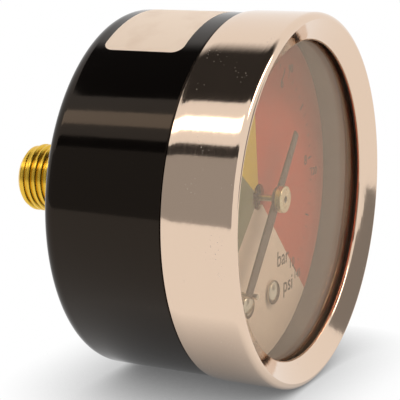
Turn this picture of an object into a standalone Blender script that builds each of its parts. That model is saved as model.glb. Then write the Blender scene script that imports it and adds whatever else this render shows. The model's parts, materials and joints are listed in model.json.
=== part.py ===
# Pressure gauge with a centre-back threaded connection, built as an openable assembly.
# Every piece is modelled in the gauge's own frame: x to the right and y up as the dial is read,
# z along the axis from the end of the connection (z = 0) towards the reader.
# One empty turns that frame so that the dial stands upright and faces -Y.
# Run with: blender --background --python part.py

import math

import bpy
import bmesh
import numpy as np

MM = 0.001

# Overall
OVERALL_LENGTH = 60.3 * MM  # from the end of the connection to the rim of the bezel

# Fits
CLEARANCE = 0.3 * MM  # between pieces that touch on the real gauge
PIVOT_CLEARANCE = 0.25 * MM  # round an arbor or a pin
OPEN_PIVOT_CLEARANCE = 0.5 * MM  # where the linkage is left open

# Connection, a parallel pipe thread of nominal size 1/4
THREAD_RADIUS = 6.58 * MM
THREAD_CHAMFER = 1.2 * MM
GROOVE_RADIUS = 5.6 * MM
GROOVE_LENGTH = 2.0 * MM
WRENCH_FLATS = 14.0 * MM
WRENCH_LENGTH = 8.1 * MM
WRENCH_CORNER = 1.6 * MM
NECK_RADIUS = 6.5 * MM
PORT_RADIUS = 2.5 * MM
DRILLING_RADIUS = 0.9 * MM

# Socket inside the case
FLANGE_RADIUS = 16.0 * MM
FLANGE_THICKNESS = 3.0 * MM
BOSS_RADIUS = 9.0 * MM
ARM_WALL = 1.0 * MM
ARM_INNER_RADIUS = 6.5 * MM
ARM_OUTER_RADIUS = 4.5 * MM

# Bourdon tube
TUBE_RADIUS = 22.5 * MM
TUBE_WIDTH = 6.4 * MM
TUBE_DEPTH = 3.5 * MM
TUBE_WALL = 0.45 * MM
TUBE_ROOT_CLOCK = 190.0
TUBE_SWEEP = 250.0
TUBE_STEPS = 30
POCKET_CLOCK_MARGIN = 3.0
POCKET_SWEEP = 36.0
TIP_PIN_STEP_CLOCK = 8.0
TIP_EYE_RADIUS = 2.0 * MM
TIP_CORNER_RADIUS = 0.6 * MM
TIP_SWING = 7.2  # degrees that the tip turns at full scale

# Case
CASE_WALL = 1.0 * MM
CASE_STEP = 0.45 * MM
CASE_CORNER = 1.9 * MM
CASE_SCREW_PITCH_RADIUS = 13.0 * MM
CASE_SCREW_RADIUS = 1.25 * MM
CASE_SCREW_LENGTH = 3.4 * MM
CASE_SCREW_HEAD_RADIUS = 2.3 * MM
CASE_SCREW_HEAD_HEIGHT = 1.6 * MM
CASE_SCREW_CLOCKS = (0.0, 120.0, 240.0)

# Bezel, window and gasket
BEZEL_RADIUS = 34.0 * MM
BEZEL_WALL = 0.6 * MM
BEZEL_LENGTH = 13.5 * MM
RIM_ROUND_WIDTH = 0.6 * MM
RIM_ROUND_DEPTH = 1.5 * MM
LIP_RADIUS = 29.0 * MM
LIP_DEPTH = 2.5 * MM
WINDOW_THICKNESS = 2.0 * MM
WINDOW_CHAMFER = 0.2 * MM
GASKET_THICKNESS = 1.4 * MM
GASKET_WIDTH = 2.4 * MM
GASKET_ROUND = 0.4 * MM

# Dial and what stands on it
DIAL_SETBACK = 7.1 * MM
DIAL_THICKNESS = 0.6 * MM
DIAL_EDGE_CLEARANCE = 0.4 * MM
DIAL_HOLE_RADIUS = 2.5 * MM
DIAL_STANDOFF = 2.0 * MM
DIAL_SCREW_PITCH_RADIUS = 20.2 * MM
DIAL_SCREW_SPREAD_CLOCK = 16.6
DIAL_SCREW_RADIUS = 0.9 * MM
DIAL_SCREW_HEAD_RADIUS = 2.35 * MM
DIAL_SCREW_HEAD_HEIGHT = 1.2 * MM
DIAL_POST_RADIUS = 2.0 * MM
STOP_PIN_INSET = 3.1 * MM  # from the pointer's tip
STOP_PIN_CLOCK = 212.0
STOP_PIN_RADIUS = 0.55 * MM
STOP_PIN_HEIGHT = 4.5 * MM
SCALE_START_CLOCK = 225.0
SCALE_SWEEP = 270.0

# Pointer
POINTER_HEIGHT = 3.5 * MM
POINTER_THICKNESS = 0.4 * MM
POINTER_LENGTH = 22.0 * MM
POINTER_TAIL = 14.0 * MM
POINTER_ROOT_WIDTH = 2.7 * MM
POINTER_TIP_WIDTH = 2.1 * MM
POINTER_TAIL_WIDTH = 4.4 * MM
POINTER_EYE_RADIUS = 2.2 * MM
HUB_RADIUS = 2.5 * MM
HUB_THICKNESS = 1.2 * MM
HUB_CHAMFER = 0.2 * MM

# Movement
PLATE_THICKNESS = 1.0 * MM
PILLAR_SPAN = 6.2 * MM
PLATE_EDGE = 2.6 * MM
PLATE_BOSS_RADIUS = 4.5 * MM
PILLAR_RADIUS = 1.6 * MM
LEFT_PILLAR_PLACE = (-9.0 * MM, 0.5 * MM)
LOW_PILLAR_PLACE = (2.2 * MM, -19.0 * MM)
UPPER_SCREW_PLACE = (-4.2 * MM, 5.0 * MM)
LOWER_SCREW_PLACE = (-4.2 * MM, -5.6 * MM)
MOVEMENT_SCREW_RADIUS = 1.0 * MM
MOVEMENT_SCREW_LENGTH = 4.0 * MM
MOVEMENT_SCREW_HEAD_RADIUS = 1.9 * MM
MOVEMENT_SCREW_HEAD_HEIGHT = 0.8 * MM
ARBOR_RADIUS = 0.65 * MM
ARBOR_END_GAP = 0.2 * MM

# Gearing
GEAR_MODULE = 0.3 * MM
PINION_TEETH = 12
SECTOR_CIRCLE_TEETH = 96
SECTOR_PIVOT_CLOCK = 150.0
SECTOR_SETBACK = 2.6 * MM
SECTOR_THICKNESS = 1.2 * MM
SECTOR_HUB_RADIUS = 2.6 * MM
SECTOR_RIM_WIDTH = 2.2 * MM
SECTOR_ARM_WIDTH = 1.5 * MM
SECTOR_ARM_CLOCK = 40.0  # from the end of the rim round the hub to where an arm leaves it
SECTOR_SPARE_TEETH = 2
SECTOR_ARBOR_RADIUS = 0.8 * MM
TAIL_RADIUS = 6.0 * MM
TAIL_EYE_RADIUS = 1.7 * MM
TAIL_MIDDLE_CLOCK = 90.0
TOOTH_TIP_WIDTH = 0.2 * MM
TOOTH_PITCH_WIDTH = 0.36 * MM
TOOTH_ROOT_WIDTH = 0.5 * MM
TOOTH_ADDENDUM = 0.25 * MM
TOOTH_DEDENDUM = 0.4 * MM

# Link and its pins
LINK_GAP = 0.4 * MM
LINK_THICKNESS = 0.8 * MM
LINK_EYE_RADIUS = 2.0 * MM
LINK_PIN_RADIUS = 0.7 * MM
LINK_PIN_HEAD_RADIUS = 1.3 * MM
LINK_PIN_HEAD_HEIGHT = 0.6 * MM

# Hairspring
HAIRSPRING_WIRE_RADIUS = 0.17 * MM
HAIRSPRING_TURNS = 5
HAIRSPRING_PITCH = 0.8 * MM
HAIRSPRING_POINTS_PER_TURN = 20
HAIRSPRING_SETBACK = 0.95 * MM
COLLET_RADIUS = 2.0 * MM
COLLET_THICKNESS = 1.2 * MM
STUD_SIZE = 1.2 * MM

# Heads, and facets round a turn
HEAD_SIDE_SHARE = 0.45  # of a head's height, below its dome
WIDE_FACETS = 60
SMALL_FACETS = 32
FINE_FACETS = 16
ROUND_POINTS = 5
TUBE_SIDE_POINTS = 5
POCKET_STEPS = 8
MERGE_DISTANCE = 0.005 * MM

# Depths of what is stacked in the case, from its back to the rim of the bezel
arm_height = TUBE_WIDTH + 2 * CLEARANCE + 2 * ARM_WALL
socket_depth = CASE_WALL + CLEARANCE + FLANGE_THICKNESS + arm_height
movement_depth = CLEARANCE + PLATE_THICKNESS + PILLAR_SPAN + PLATE_THICKNESS
dial_depth = DIAL_STANDOFF + DIAL_THICKNESS + DIAL_SETBACK
front_depth = WINDOW_THICKNESS + CLEARANCE + BEZEL_WALL + LIP_DEPTH

# Heights along the axis; the thread takes what the case and the square leave of the length
case_back = OVERALL_LENGTH - socket_depth - movement_depth - dial_depth - front_depth
wrench_top = case_back - CLEARANCE
wrench_low = wrench_top - WRENCH_LENGTH
thread_top = wrench_low - GROOVE_LENGTH
case_floor = case_back + CASE_WALL
flange_low = case_floor + CLEARANCE
flange_top = flange_low + FLANGE_THICKNESS
socket_face = flange_top + arm_height
tube_middle = flange_top + arm_height / 2
back_plate_low = socket_face + CLEARANCE
back_plate_top = back_plate_low + PLATE_THICKNESS
front_plate_low = back_plate_top + PILLAR_SPAN
front_plate_top = front_plate_low + PLATE_THICKNESS
dial_back = front_plate_top + DIAL_STANDOFF
dial_face = dial_back + DIAL_THICKNESS
window_back = dial_face + DIAL_SETBACK
window_face = window_back + WINDOW_THICKNESS
gasket_face = window_back - CLEARANCE
gasket_back = gasket_face - GASKET_THICKNESS
case_rim = gasket_back - CLEARANCE
lip_edge = window_face + CLEARANCE + BEZEL_WALL
bezel_face = lip_edge + LIP_DEPTH
bezel_back = bezel_face - BEZEL_LENGTH
case_shoulder = bezel_back - CLEARANCE
sector_face = front_plate_low - SECTOR_SETBACK
sector_back = sector_face - SECTOR_THICKNESS
link_face = sector_back - LINK_GAP
link_back = link_face - LINK_THICKNESS
hairspring_height = front_plate_low - HAIRSPRING_SETBACK
pointer_back = dial_face + POINTER_HEIGHT
pointer_face = pointer_back + POINTER_THICKNESS
hub_back = pointer_face + CLEARANCE
hub_face = hub_back + HUB_THICKNESS

# Radii that follow from the fits
bezel_bore = BEZEL_RADIUS - BEZEL_WALL
case_neck = bezel_bore - CLEARANCE
case_radius = case_neck + CASE_STEP
neck_bore = case_neck - CASE_WALL
case_bore = case_radius - CASE_WALL
window_radius = bezel_bore - CLEARANCE
dial_radius = neck_bore - DIAL_EDGE_CLEARANCE
dial_screw_hole = DIAL_SCREW_RADIUS + CLEARANCE
arbor_hole = ARBOR_RADIUS + PIVOT_CLEARANCE
sector_arbor_hole = SECTOR_ARBOR_RADIUS + PIVOT_CLEARANCE

# Gear train: the pointer's full travel, the sector's and the tube tip's
stop_pin_pitch_radius = POINTER_LENGTH - STOP_PIN_INSET
pinion_pitch_radius = GEAR_MODULE * PINION_TEETH / 2
sector_pitch_radius = GEAR_MODULE * SECTOR_CIRCLE_TEETH / 2
pointer_reach = POINTER_ROOT_WIDTH + (POINTER_TIP_WIDTH - POINTER_ROOT_WIDTH) * (
    stop_pin_pitch_radius / POINTER_LENGTH
)
stop_gap = pointer_reach / 2 + STOP_PIN_RADIUS + CLEARANCE
pointer_rest_clock = STOP_PIN_CLOCK + math.degrees(math.asin(stop_gap / stop_pin_pitch_radius))
pointer_travel = SCALE_START_CLOCK + SCALE_SWEEP - pointer_rest_clock
sector_travel = pointer_travel * PINION_TEETH / SECTOR_CIRCLE_TEETH
tail_rest_clock = TAIL_MIDDLE_CLOCK + sector_travel / 2


def at_clock(radius, clock, centre=(0.0, 0.0)):
    # A place on a circle, by its angle clockwise from twelve o'clock
    angle = math.radians(clock)
    return (centre[0] + radius * math.sin(angle), centre[1] + radius * math.cos(angle))


sector_pivot = at_clock(pinion_pitch_radius + sector_pitch_radius, SECTOR_PIVOT_CLOCK)
tail_pin_place = at_clock(TAIL_RADIUS, tail_rest_clock, sector_pivot)
tube_end_clock = TUBE_ROOT_CLOCK + TUBE_SWEEP
tip_pin_place = at_clock(TUBE_RADIUS, tube_end_clock + TIP_PIN_STEP_CLOCK)
# The tube's end turns about a centre that carries its pin straight up, as far as the tail's pin
tip_rise = 2 * TAIL_RADIUS * math.sin(math.radians(sector_travel / 2))
tip_arm = tip_rise / (2 * math.tan(math.radians(TIP_SWING / 2)))
tip_centre = (tip_pin_place[0] - tip_arm, tip_pin_place[1] + tip_rise / 2)
dial_screw_places = {
    "left": at_clock(DIAL_SCREW_PITCH_RADIUS, 180.0 + DIAL_SCREW_SPREAD_CLOCK),
    "right": at_clock(DIAL_SCREW_PITCH_RADIUS, 180.0 - DIAL_SCREW_SPREAD_CLOCK),
}
stop_pin_place = at_clock(stop_pin_pitch_radius, STOP_PIN_CLOCK)
pillar_places = {"left": LEFT_PILLAR_PLACE, "low": LOW_PILLAR_PLACE}
movement_screw_places = {"upper": UPPER_SCREW_PLACE, "lower": LOWER_SCREW_PLACE}

# A clean scene with one collection for the gauge and one for the cutters
for old in list(bpy.data.objects):
    bpy.data.objects.remove(old, do_unlink=True)
gauge = bpy.data.collections.new("pressure_gauge")
cutters = bpy.data.collections.new("cutters")
for group in (gauge, cutters):
    bpy.context.scene.collection.children.link(group)
cutters.hide_render = True

upright = bpy.data.objects.new("gauge_axis", None)
upright.rotation_euler = (math.pi / 2, 0.0, 0.0)
gauge.objects.link(upright)


def finish(name, color, roughness, metallic, alpha=1.0):
    made = bpy.data.materials.new(name)
    made.use_nodes = True
    shader = made.node_tree.nodes["Principled BSDF"]
    shader.inputs["Base Color"].default_value = (*color, 1.0)
    shader.inputs["Roughness"].default_value = roughness
    shader.inputs["Metallic"].default_value = metallic
    shader.inputs["Alpha"].default_value = alpha
    return made


def joint_axis(name, spot):
    # An empty on the axis of a joint, which carries what turns there
    empty = bpy.data.objects.new(name, None)
    empty.parent = upright
    empty.location = (spot[0], spot[1], 0.0)
    gauge.objects.link(empty)
    return empty


def place(obj, look, spot=(0.0, 0.0), height=0.0, turn=0.0, carrier=None):
    # Sets a piece in the gauge's frame; turn is clockwise as the dial is read
    gauge.objects.link(obj)
    obj.data.materials.append(look)
    obj.parent = carrier or upright
    base = carrier.location if carrier else (0.0, 0.0)
    obj.location = (spot[0] - base[0], spot[1] - base[1], height)
    obj.rotation_euler = (0.0, 0.0, -math.radians(turn))
    return obj


def turned_object(name, profile, facets):
    # A revolved solid: the profile lists (radius, height) down its outer side, from the top
    mesh = bpy.data.meshes.new(name)
    points = [(radius, 0.0, height) for radius, height in profile]
    edges = [(i, i + 1) for i in range(len(points) - 1)]
    if profile[0][0] > 0.0:
        edges.append((len(points) - 1, 0))
    mesh.from_pydata(points, edges, [])
    obj = bpy.data.objects.new(name, mesh)
    screw = obj.modifiers.new("turn", "SCREW")
    screw.steps = facets
    screw.render_steps = facets
    screw.use_merge_vertices = True
    screw.merge_threshold = MERGE_DISTANCE
    screw.use_smooth_shade = True
    return obj


def turned(name, profile, look, facets=SMALL_FACETS, spot=(0.0, 0.0), carrier=None):
    return place(turned_object(name, profile, facets), look, spot, carrier=carrier)


def rod_profile(radius, low, top):
    return [(0.0, top), (radius, top), (radius, low), (0.0, low)]


def ring_profile(outer, inner, low, top):
    return [(outer, top), (outer, low), (inner, low), (inner, top)]


def headed_profile(shank_radius, low, seat, head_radius, head_top):
    # A pin or screw with a domed head above its seat
    crown = seat + HEAD_SIDE_SHARE * (head_top - seat)
    dome = [(head_radius * math.sin(a), crown + (head_top - crown) * math.cos(a))
            for a in np.linspace(0.0, math.pi / 2, ROUND_POINTS)]
    return dome + [(head_radius, seat), (shank_radius, seat), (shank_radius, low), (0.0, low)]


def circle(radius, centre=(0.0, 0.0), facets=FINE_FACETS):
    return [at_clock(radius, 360.0 * i / facets, centre) for i in range(facets)]


def hull(discs, facets=SMALL_FACETS):
    # The outline of a band stretched round discs, each one (x, y, radius)
    points = sorted(p for x, y, radius in discs for p in circle(radius, (x, y), facets))

    def half(run):
        kept = []
        for p in run:
            while len(kept) > 1:
                a, b = kept[-2], kept[-1]
                if (b[0] - a[0]) * (p[1] - a[1]) - (b[1] - a[1]) * (p[0] - a[0]) > 0.0:
                    break
                kept.pop()
            kept.append(p)
        return kept[:-1]

    return half(points) + half(points[::-1])


def flat_object(name, loops, thickness):
    # A sheet cut to an outline, with the other loops as its holes
    curve = bpy.data.curves.new(name, "CURVE")
    curve.dimensions = "2D"
    curve.fill_mode = "BOTH"
    curve.extrude = thickness / 2
    for loop in loops:
        spline = curve.splines.new("POLY")
        spline.points.add(len(loop) - 1)
        for point, (x, y) in zip(spline.points, loop):
            point.co = (x, y, 0.0, 1.0)
        spline.use_cyclic_u = True
    return bpy.data.objects.new(name, curve)


def flat(name, loops, low, top, look, spot=(0.0, 0.0), turn=0.0, carrier=None):
    return place(flat_object(name, loops, top - low), look, spot, (low + top) / 2, turn, carrier)


def closed_solid(shaper):
    # The finished mesh of a shape, merged and closed, for joining or cutting
    bpy.context.scene.collection.objects.link(shaper)
    graph = bpy.context.evaluated_depsgraph_get()
    mesh = bpy.data.meshes.new_from_object(shaper.evaluated_get(graph))
    shape = bmesh.new()
    shape.from_mesh(mesh)
    bmesh.ops.remove_doubles(shape, verts=shape.verts, dist=MERGE_DISTANCE)
    bmesh.ops.holes_fill(shape, edges=shape.edges)
    bmesh.ops.recalc_face_normals(shape, faces=shape.faces)
    shape.to_mesh(mesh)
    shape.free()
    obj = bpy.data.objects.new(shaper.name + "_solid", mesh)
    obj.location = shaper.location
    obj.rotation_euler = shaper.rotation_euler
    bpy.data.objects.remove(shaper, do_unlink=True)
    return obj


def solid_from_flat(name, loops, low, top):
    sheet = flat_object(name, loops, top - low)
    sheet.location = (0.0, 0.0, (low + top) / 2)
    return closed_solid(sheet)


def helper(obj):
    # Marks a shape that only joins to or cuts another
    cutters.objects.link(obj)
    obj.parent = upright
    obj.hide_render = True
    obj.display_type = "WIRE"
    return obj


def combine(obj, other, operation):
    step = obj.modifiers.new(other.name, "BOOLEAN")
    step.operation = operation
    step.solver = "EXACT"
    step.object = helper(other)


def drill(obj, name, radius, low, top, spot=(0.0, 0.0)):
    cutter = turned_object(name, rod_profile(radius, low, top), FINE_FACETS)
    cutter.location = (spot[0], spot[1], 0.0)
    combine(obj, cutter, "DIFFERENCE")


def gear_teeth(pitch_radius, clocks):
    # Straight-flanked teeth, as points in clockwise order about the gear's centre
    levels = (
        (-TOOTH_DEDENDUM, TOOTH_ROOT_WIDTH),
        (0.0, TOOTH_PITCH_WIDTH),
        (TOOTH_ADDENDUM, TOOTH_TIP_WIDTH),
    )
    points = []
    for clock in clocks:
        for side, order in ((-1, levels), (1, levels[::-1])):
            for rise, width in order:
                radius = pitch_radius + rise
                points.append(at_clock(radius, clock + side * math.degrees(width / 2 / radius)))
    return points


def arc(radius, start, end, steps, centre=(0.0, 0.0)):
    return [at_clock(radius, clock, centre) for clock in np.linspace(start, end, steps)]


# Finishes
chrome = finish("chromed_steel", (0.78, 0.74, 0.69), 0.08, 1.0)
black_enamel = finish("black_enamel", (0.012, 0.011, 0.01), 0.18, 0.0)
glass = finish("window_glass", (0.95, 0.95, 0.93), 0.03, 0.0, 0.25)
rubber = finish("black_rubber", (0.02, 0.02, 0.02), 0.7, 0.0)
dial_white = finish("dial_enamel", (0.82, 0.8, 0.76), 0.5, 0.0)
pointer_black = finish("pointer_black", (0.015, 0.015, 0.015), 0.5, 0.0)
brass = finish("brass", (0.72, 0.52, 0.2), 0.28, 1.0)
bronze = finish("tube_bronze", (0.6, 0.38, 0.2), 0.35, 1.0)
steel = finish("bright_steel", (0.6, 0.6, 0.6), 0.3, 1.0)

# Bezel: skirt, rounded rim and a lip dished back to the window
rim_crest = BEZEL_RADIUS - RIM_ROUND_WIDTH
lip_slope = LIP_DEPTH / (rim_crest - LIP_RADIUS)
rim_round = [
    (rim_crest + RIM_ROUND_WIDTH * math.sin(a), bezel_face - RIM_ROUND_DEPTH * (1.0 - math.cos(a)))
    for a in np.linspace(0.0, math.pi / 2, ROUND_POINTS)
]
lip_back = bezel_face - BEZEL_WALL - lip_slope * (rim_crest - bezel_bore + CLEARANCE)
bezel_profile = [(LIP_RADIUS, lip_edge)] + rim_round + [
    (BEZEL_RADIUS, bezel_back),
    (bezel_bore, bezel_back),
    (bezel_bore, bezel_face - RIM_ROUND_DEPTH),
    (bezel_bore - CLEARANCE, lip_back),
    (LIP_RADIUS, lip_edge - BEZEL_WALL),
]
turned("bezel", bezel_profile, chrome, WIDE_FACETS)

# Window: a flat disc with broken edges
window_profile = [
    (0.0, window_face),
    (window_radius - WINDOW_CHAMFER, window_face),
    (window_radius, window_face - WINDOW_CHAMFER),
    (window_radius, window_back + WINDOW_CHAMFER),
    (window_radius - WINDOW_CHAMFER, window_back),
    (0.0, window_back),
]
turned("window", window_profile, glass, WIDE_FACETS)

# Gasket between the window and the case's rim
gasket_inner = window_radius - GASKET_WIDTH
gasket_profile = [
    (window_radius - GASKET_ROUND, gasket_face),
    (window_radius, gasket_face - GASKET_ROUND),
    (window_radius, gasket_back + GASKET_ROUND),
    (window_radius - GASKET_ROUND, gasket_back),
    (gasket_inner + GASKET_ROUND, gasket_back),
    (gasket_inner, gasket_back + GASKET_ROUND),
    (gasket_inner, gasket_face - GASKET_ROUND),
    (gasket_inner + GASKET_ROUND, gasket_face),
]
turned("window_gasket", gasket_profile, rubber, WIDE_FACETS)

# Case: a drawn cup, stepped in at the front to take the bezel
inner_corner = CASE_CORNER - CASE_WALL / 2
case_hole = NECK_RADIUS + CLEARANCE
case_profile = [(case_neck, case_rim), (case_neck, case_shoulder), (case_radius, case_shoulder)]
case_profile += [
    (case_radius - CASE_CORNER * (1.0 - math.cos(a)), case_back + CASE_CORNER * (1.0 - math.sin(a)))
    for a in np.linspace(0.0, math.pi / 2, ROUND_POINTS)
]
case_profile += [(case_hole, case_back), (case_hole, case_floor)]
case_profile += [
    (case_bore - inner_corner * (1.0 - math.sin(a)), case_floor + inner_corner * (1.0 - math.cos(a)))
    for a in np.linspace(0.0, math.pi / 2, ROUND_POINTS)
]
case_profile += [
    (case_bore, case_shoulder - CASE_WALL),
    (neck_bore, case_shoulder - CASE_WALL + CASE_STEP),
    (neck_bore, case_rim),
]
case = turned("case", case_profile, black_enamel, WIDE_FACETS)

# Socket: threaded stub, wrench square, neck, flange and boss in one turned blank
socket_profile = [
    (0.0, socket_face),
    (BOSS_RADIUS, socket_face),
    (BOSS_RADIUS, flange_top),
    (FLANGE_RADIUS, flange_top),
    (FLANGE_RADIUS, flange_low),
    (NECK_RADIUS, flange_low),
    (NECK_RADIUS, wrench_low + WRENCH_LENGTH / 2),
    (GROOVE_RADIUS, wrench_low + WRENCH_LENGTH / 2),
    (GROOVE_RADIUS, thread_top + GROOVE_LENGTH / 4),
    (THREAD_RADIUS, thread_top - GROOVE_LENGTH / 4),
    (THREAD_RADIUS, THREAD_CHAMFER),
    (THREAD_RADIUS - THREAD_CHAMFER, 0.0),
    (0.0, 0.0),
]
socket = turned("socket", socket_profile, brass, SMALL_FACETS)
half_flat = WRENCH_FLATS / 2
square = [
    (sx * (half_flat - cut_x), sy * (half_flat - cut_y))
    for sx, sy, cut_x, cut_y in (
        (1, 1, 0.0, WRENCH_CORNER),
        (1, -1, 0.0, WRENCH_CORNER),
        (1, -1, WRENCH_CORNER, 0.0),
        (-1, -1, WRENCH_CORNER, 0.0),
        (-1, -1, 0.0, WRENCH_CORNER),
        (-1, 1, 0.0, WRENCH_CORNER),
        (-1, 1, WRENCH_CORNER, 0.0),
        (1, 1, WRENCH_CORNER, 0.0),
    )
]
combine(socket, solid_from_flat("wrench_square", [square], wrench_low, wrench_top), "UNION")
tube_root_place = at_clock(TUBE_RADIUS, TUBE_ROOT_CLOCK)
arm = hull([(0.0, 0.0, ARM_INNER_RADIUS), (*tube_root_place, ARM_OUTER_RADIUS)])
arm_low = flange_top - ARM_WALL / 2  # sunk into the flange, so that the two join
arm_top = socket_face - ARM_WALL / 4
combine(socket, solid_from_flat("socket_arm", [arm], arm_low, arm_top), "UNION")


def tube_shell(name, grow, start_clock, sweep, steps):
    # A flat-oval section swept round the gauge's axis; grow widens it all round
    across = TUBE_DEPTH / 2 + grow
    along = TUBE_WIDTH / 2 + grow - across
    mesh = bpy.data.meshes.new(name)
    section = []
    for side in (1, -1):
        for a in np.linspace(0.0, math.pi, TUBE_SIDE_POINTS):
            section.append((across * math.cos(a) * side, (along + across * math.sin(a)) * side))
    points = [(TUBE_RADIUS + x, 0.0, z) for x, z in section]
    edges = [(i, (i + 1) % len(points)) for i in range(len(points))]
    mesh.from_pydata(points, edges, [])
    obj = bpy.data.objects.new(name, mesh)
    screw = obj.modifiers.new("sweep", "SCREW")
    screw.angle = -math.radians(sweep)
    screw.steps = steps
    screw.render_steps = steps
    screw.use_smooth_shade = True
    obj.location = (0.0, 0.0, tube_middle)
    obj.rotation_euler = (0.0, 0.0, math.radians(90.0 - start_clock))
    return obj


# Pocket for the tube's root, and the drilling that leads the pressure to it
pocket_start = TUBE_ROOT_CLOCK - POCKET_CLOCK_MARGIN
pocket = closed_solid(tube_shell("tube_pocket", CLEARANCE, pocket_start, POCKET_SWEEP, POCKET_STEPS))
combine(socket, pocket, "DIFFERENCE")
drilling = turned_object("arm_drilling", rod_profile(DRILLING_RADIUS, 0.0, TUBE_RADIUS), FINE_FACETS)
drilling.location = (0.0, 0.0, tube_middle)
drilling.rotation_euler = (-math.pi / 2, 0.0, math.radians(-TUBE_ROOT_CLOCK))
combine(socket, drilling, "DIFFERENCE")
drill(socket, "port", PORT_RADIUS, -CLEARANCE, tube_middle + DRILLING_RADIUS)

# Case screws, from behind through the case into the flange
screw_tip = case_back - CLEARANCE + CASE_SCREW_LENGTH
for number, clock in enumerate(CASE_SCREW_CLOCKS, 1):
    spot = at_clock(CASE_SCREW_PITCH_RADIUS, clock)
    hole = CASE_SCREW_RADIUS + CLEARANCE
    drill(case, f"case_hole_{number}", hole, case_back - CASE_WALL, case_floor + CLEARANCE / 2, spot)
    drill(socket, f"flange_hole_{number}", hole, flange_low - CLEARANCE / 2, screw_tip + CLEARANCE, spot)
    seat = case_back - CLEARANCE
    head_top = -seat + CASE_SCREW_HEAD_HEIGHT
    outline = headed_profile(CASE_SCREW_RADIUS, -screw_tip, -seat, CASE_SCREW_HEAD_RADIUS, head_top)
    case_screw = turned(f"case_screw_{number}", outline, steel, FINE_FACETS, spot)
    case_screw.rotation_euler = (math.pi, 0.0, 0.0)

# Movement screws, through the back plate into the socket's face
movement_seat = back_plate_top + CLEARANCE
for name, spot in movement_screw_places.items():
    low = movement_seat - MOVEMENT_SCREW_LENGTH
    hole = MOVEMENT_SCREW_RADIUS + CLEARANCE
    drill(socket, f"socket_hole_{name}", hole, low - CLEARANCE, socket_face + CLEARANCE, spot)
    turned(f"movement_screw_{name}",
           headed_profile(MOVEMENT_SCREW_RADIUS, low, movement_seat, MOVEMENT_SCREW_HEAD_RADIUS,
                          movement_seat + MOVEMENT_SCREW_HEAD_HEIGHT),
           steel, FINE_FACETS, spot)

# Bourdon tube: an open flat-oval spring tube
tube = tube_shell("bourdon_tube", 0.0, TUBE_ROOT_CLOCK, TUBE_SWEEP, TUBE_STEPS)
place(tube, bronze, height=tube_middle, turn=TUBE_ROOT_CLOCK - 90.0)
wall = tube.modifiers.new("wall", "SOLIDIFY")
wall.thickness = TUBE_WALL
wall.offset = -1.0
wall.use_even_offset = True

# Tube tip: end piece with the eye for the link's pin; it turns about the tube's flexing centre
tip_axis = joint_axis("tip_axis", tip_centre)
tip_corner_step = math.degrees((TIP_CORNER_RADIUS + CLEARANCE) / (TUBE_RADIUS - TUBE_DEPTH / 2))
tip_discs = [
    (*at_clock(TUBE_RADIUS + side * (TUBE_DEPTH / 2 - TIP_CORNER_RADIUS), tube_end_clock + tip_corner_step),
     TIP_CORNER_RADIUS)
    for side in (-1, 1)
]
tip_discs.append((*tip_pin_place, TIP_EYE_RADIUS))
tip_hole = circle(LINK_PIN_RADIUS + PIVOT_CLEARANCE, tip_pin_place)
tip_low = tube_middle - TUBE_WIDTH / 2
flat("tube_tip", [hull(tip_discs), tip_hole], tip_low, link_back - CLEARANCE, brass, carrier=tip_axis)
turned("tip_pin",
       headed_profile(LINK_PIN_RADIUS, tip_low, link_face + CLEARANCE, LINK_PIN_HEAD_RADIUS,
                      link_face + CLEARANCE + LINK_PIN_HEAD_HEIGHT),
       steel, FINE_FACETS, tip_pin_place, tip_axis)

# Link from the tip to the sector's tail, with the open pivot at the tail
link_loops = [
    hull([(*tip_pin_place, LINK_EYE_RADIUS), (*tail_pin_place, LINK_EYE_RADIUS)]),
    circle(LINK_PIN_RADIUS + PIVOT_CLEARANCE, tip_pin_place),
    circle(LINK_PIN_RADIUS + OPEN_PIVOT_CLEARANCE, tail_pin_place),
]
flat("link", link_loops, link_back, link_face, steel, carrier=joint_axis("link_axis", tip_pin_place))

# Sector gear: toothed rim on two arms, hub and tail, drawn about its own pivot
tooth_step = 360.0 / SECTOR_CIRCLE_TEETH
mesh_clock = SECTOR_PIVOT_CLOCK + 180.0
teeth_used = math.ceil(sector_travel / tooth_step)
tooth_numbers = range(-SECTOR_SPARE_TEETH, teeth_used + SECTOR_SPARE_TEETH)
tooth_clocks = [mesh_clock + (number + 0.5) * tooth_step for number in tooth_numbers]
rim_start = tooth_clocks[0] - tooth_step / 2
rim_end = tooth_clocks[-1] + tooth_step / 2
root_radius = sector_pitch_radius - TOOTH_DEDENDUM
tail_centre = at_clock(TAIL_RADIUS, tail_rest_clock)
tail_lean = math.degrees(math.asin(TAIL_EYE_RADIUS / SECTOR_HUB_RADIUS))
sector_outline = [at_clock(root_radius, rim_start)] + gear_teeth(sector_pitch_radius, tooth_clocks)
sector_outline += [at_clock(root_radius, rim_end)]
sector_outline += arc(SECTOR_HUB_RADIUS, rim_end + SECTOR_ARM_CLOCK, 360.0 + tail_rest_clock - tail_lean, 4)
sector_outline += arc(TAIL_EYE_RADIUS, tail_rest_clock - 90.0, tail_rest_clock + 90.0, 9, tail_centre)
sector_outline += arc(SECTOR_HUB_RADIUS, tail_rest_clock + tail_lean, rim_start - SECTOR_ARM_CLOCK, 7)
window_outer = root_radius - SECTOR_RIM_WIDTH
window_inner = SECTOR_HUB_RADIUS + SECTOR_ARM_WIDTH
lean_outer = math.degrees(SECTOR_ARM_WIDTH / window_outer)
lean_inner = math.degrees(SECTOR_ARM_WIDTH / window_inner)
sector_opening = arc(window_outer, rim_start + lean_outer, rim_end - lean_outer, 8)
sector_opening += arc(window_inner, rim_end - lean_inner, rim_start + lean_inner, 4)
sector_loops = [
    sector_outline,
    sector_opening,
    circle(sector_arbor_hole),
    circle(LINK_PIN_RADIUS + PIVOT_CLEARANCE, tail_centre),
]
sector_axis = joint_axis("sector_axis", sector_pivot)
flat("sector_gear", sector_loops, sector_back, sector_face, brass, sector_pivot, carrier=sector_axis)
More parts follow.
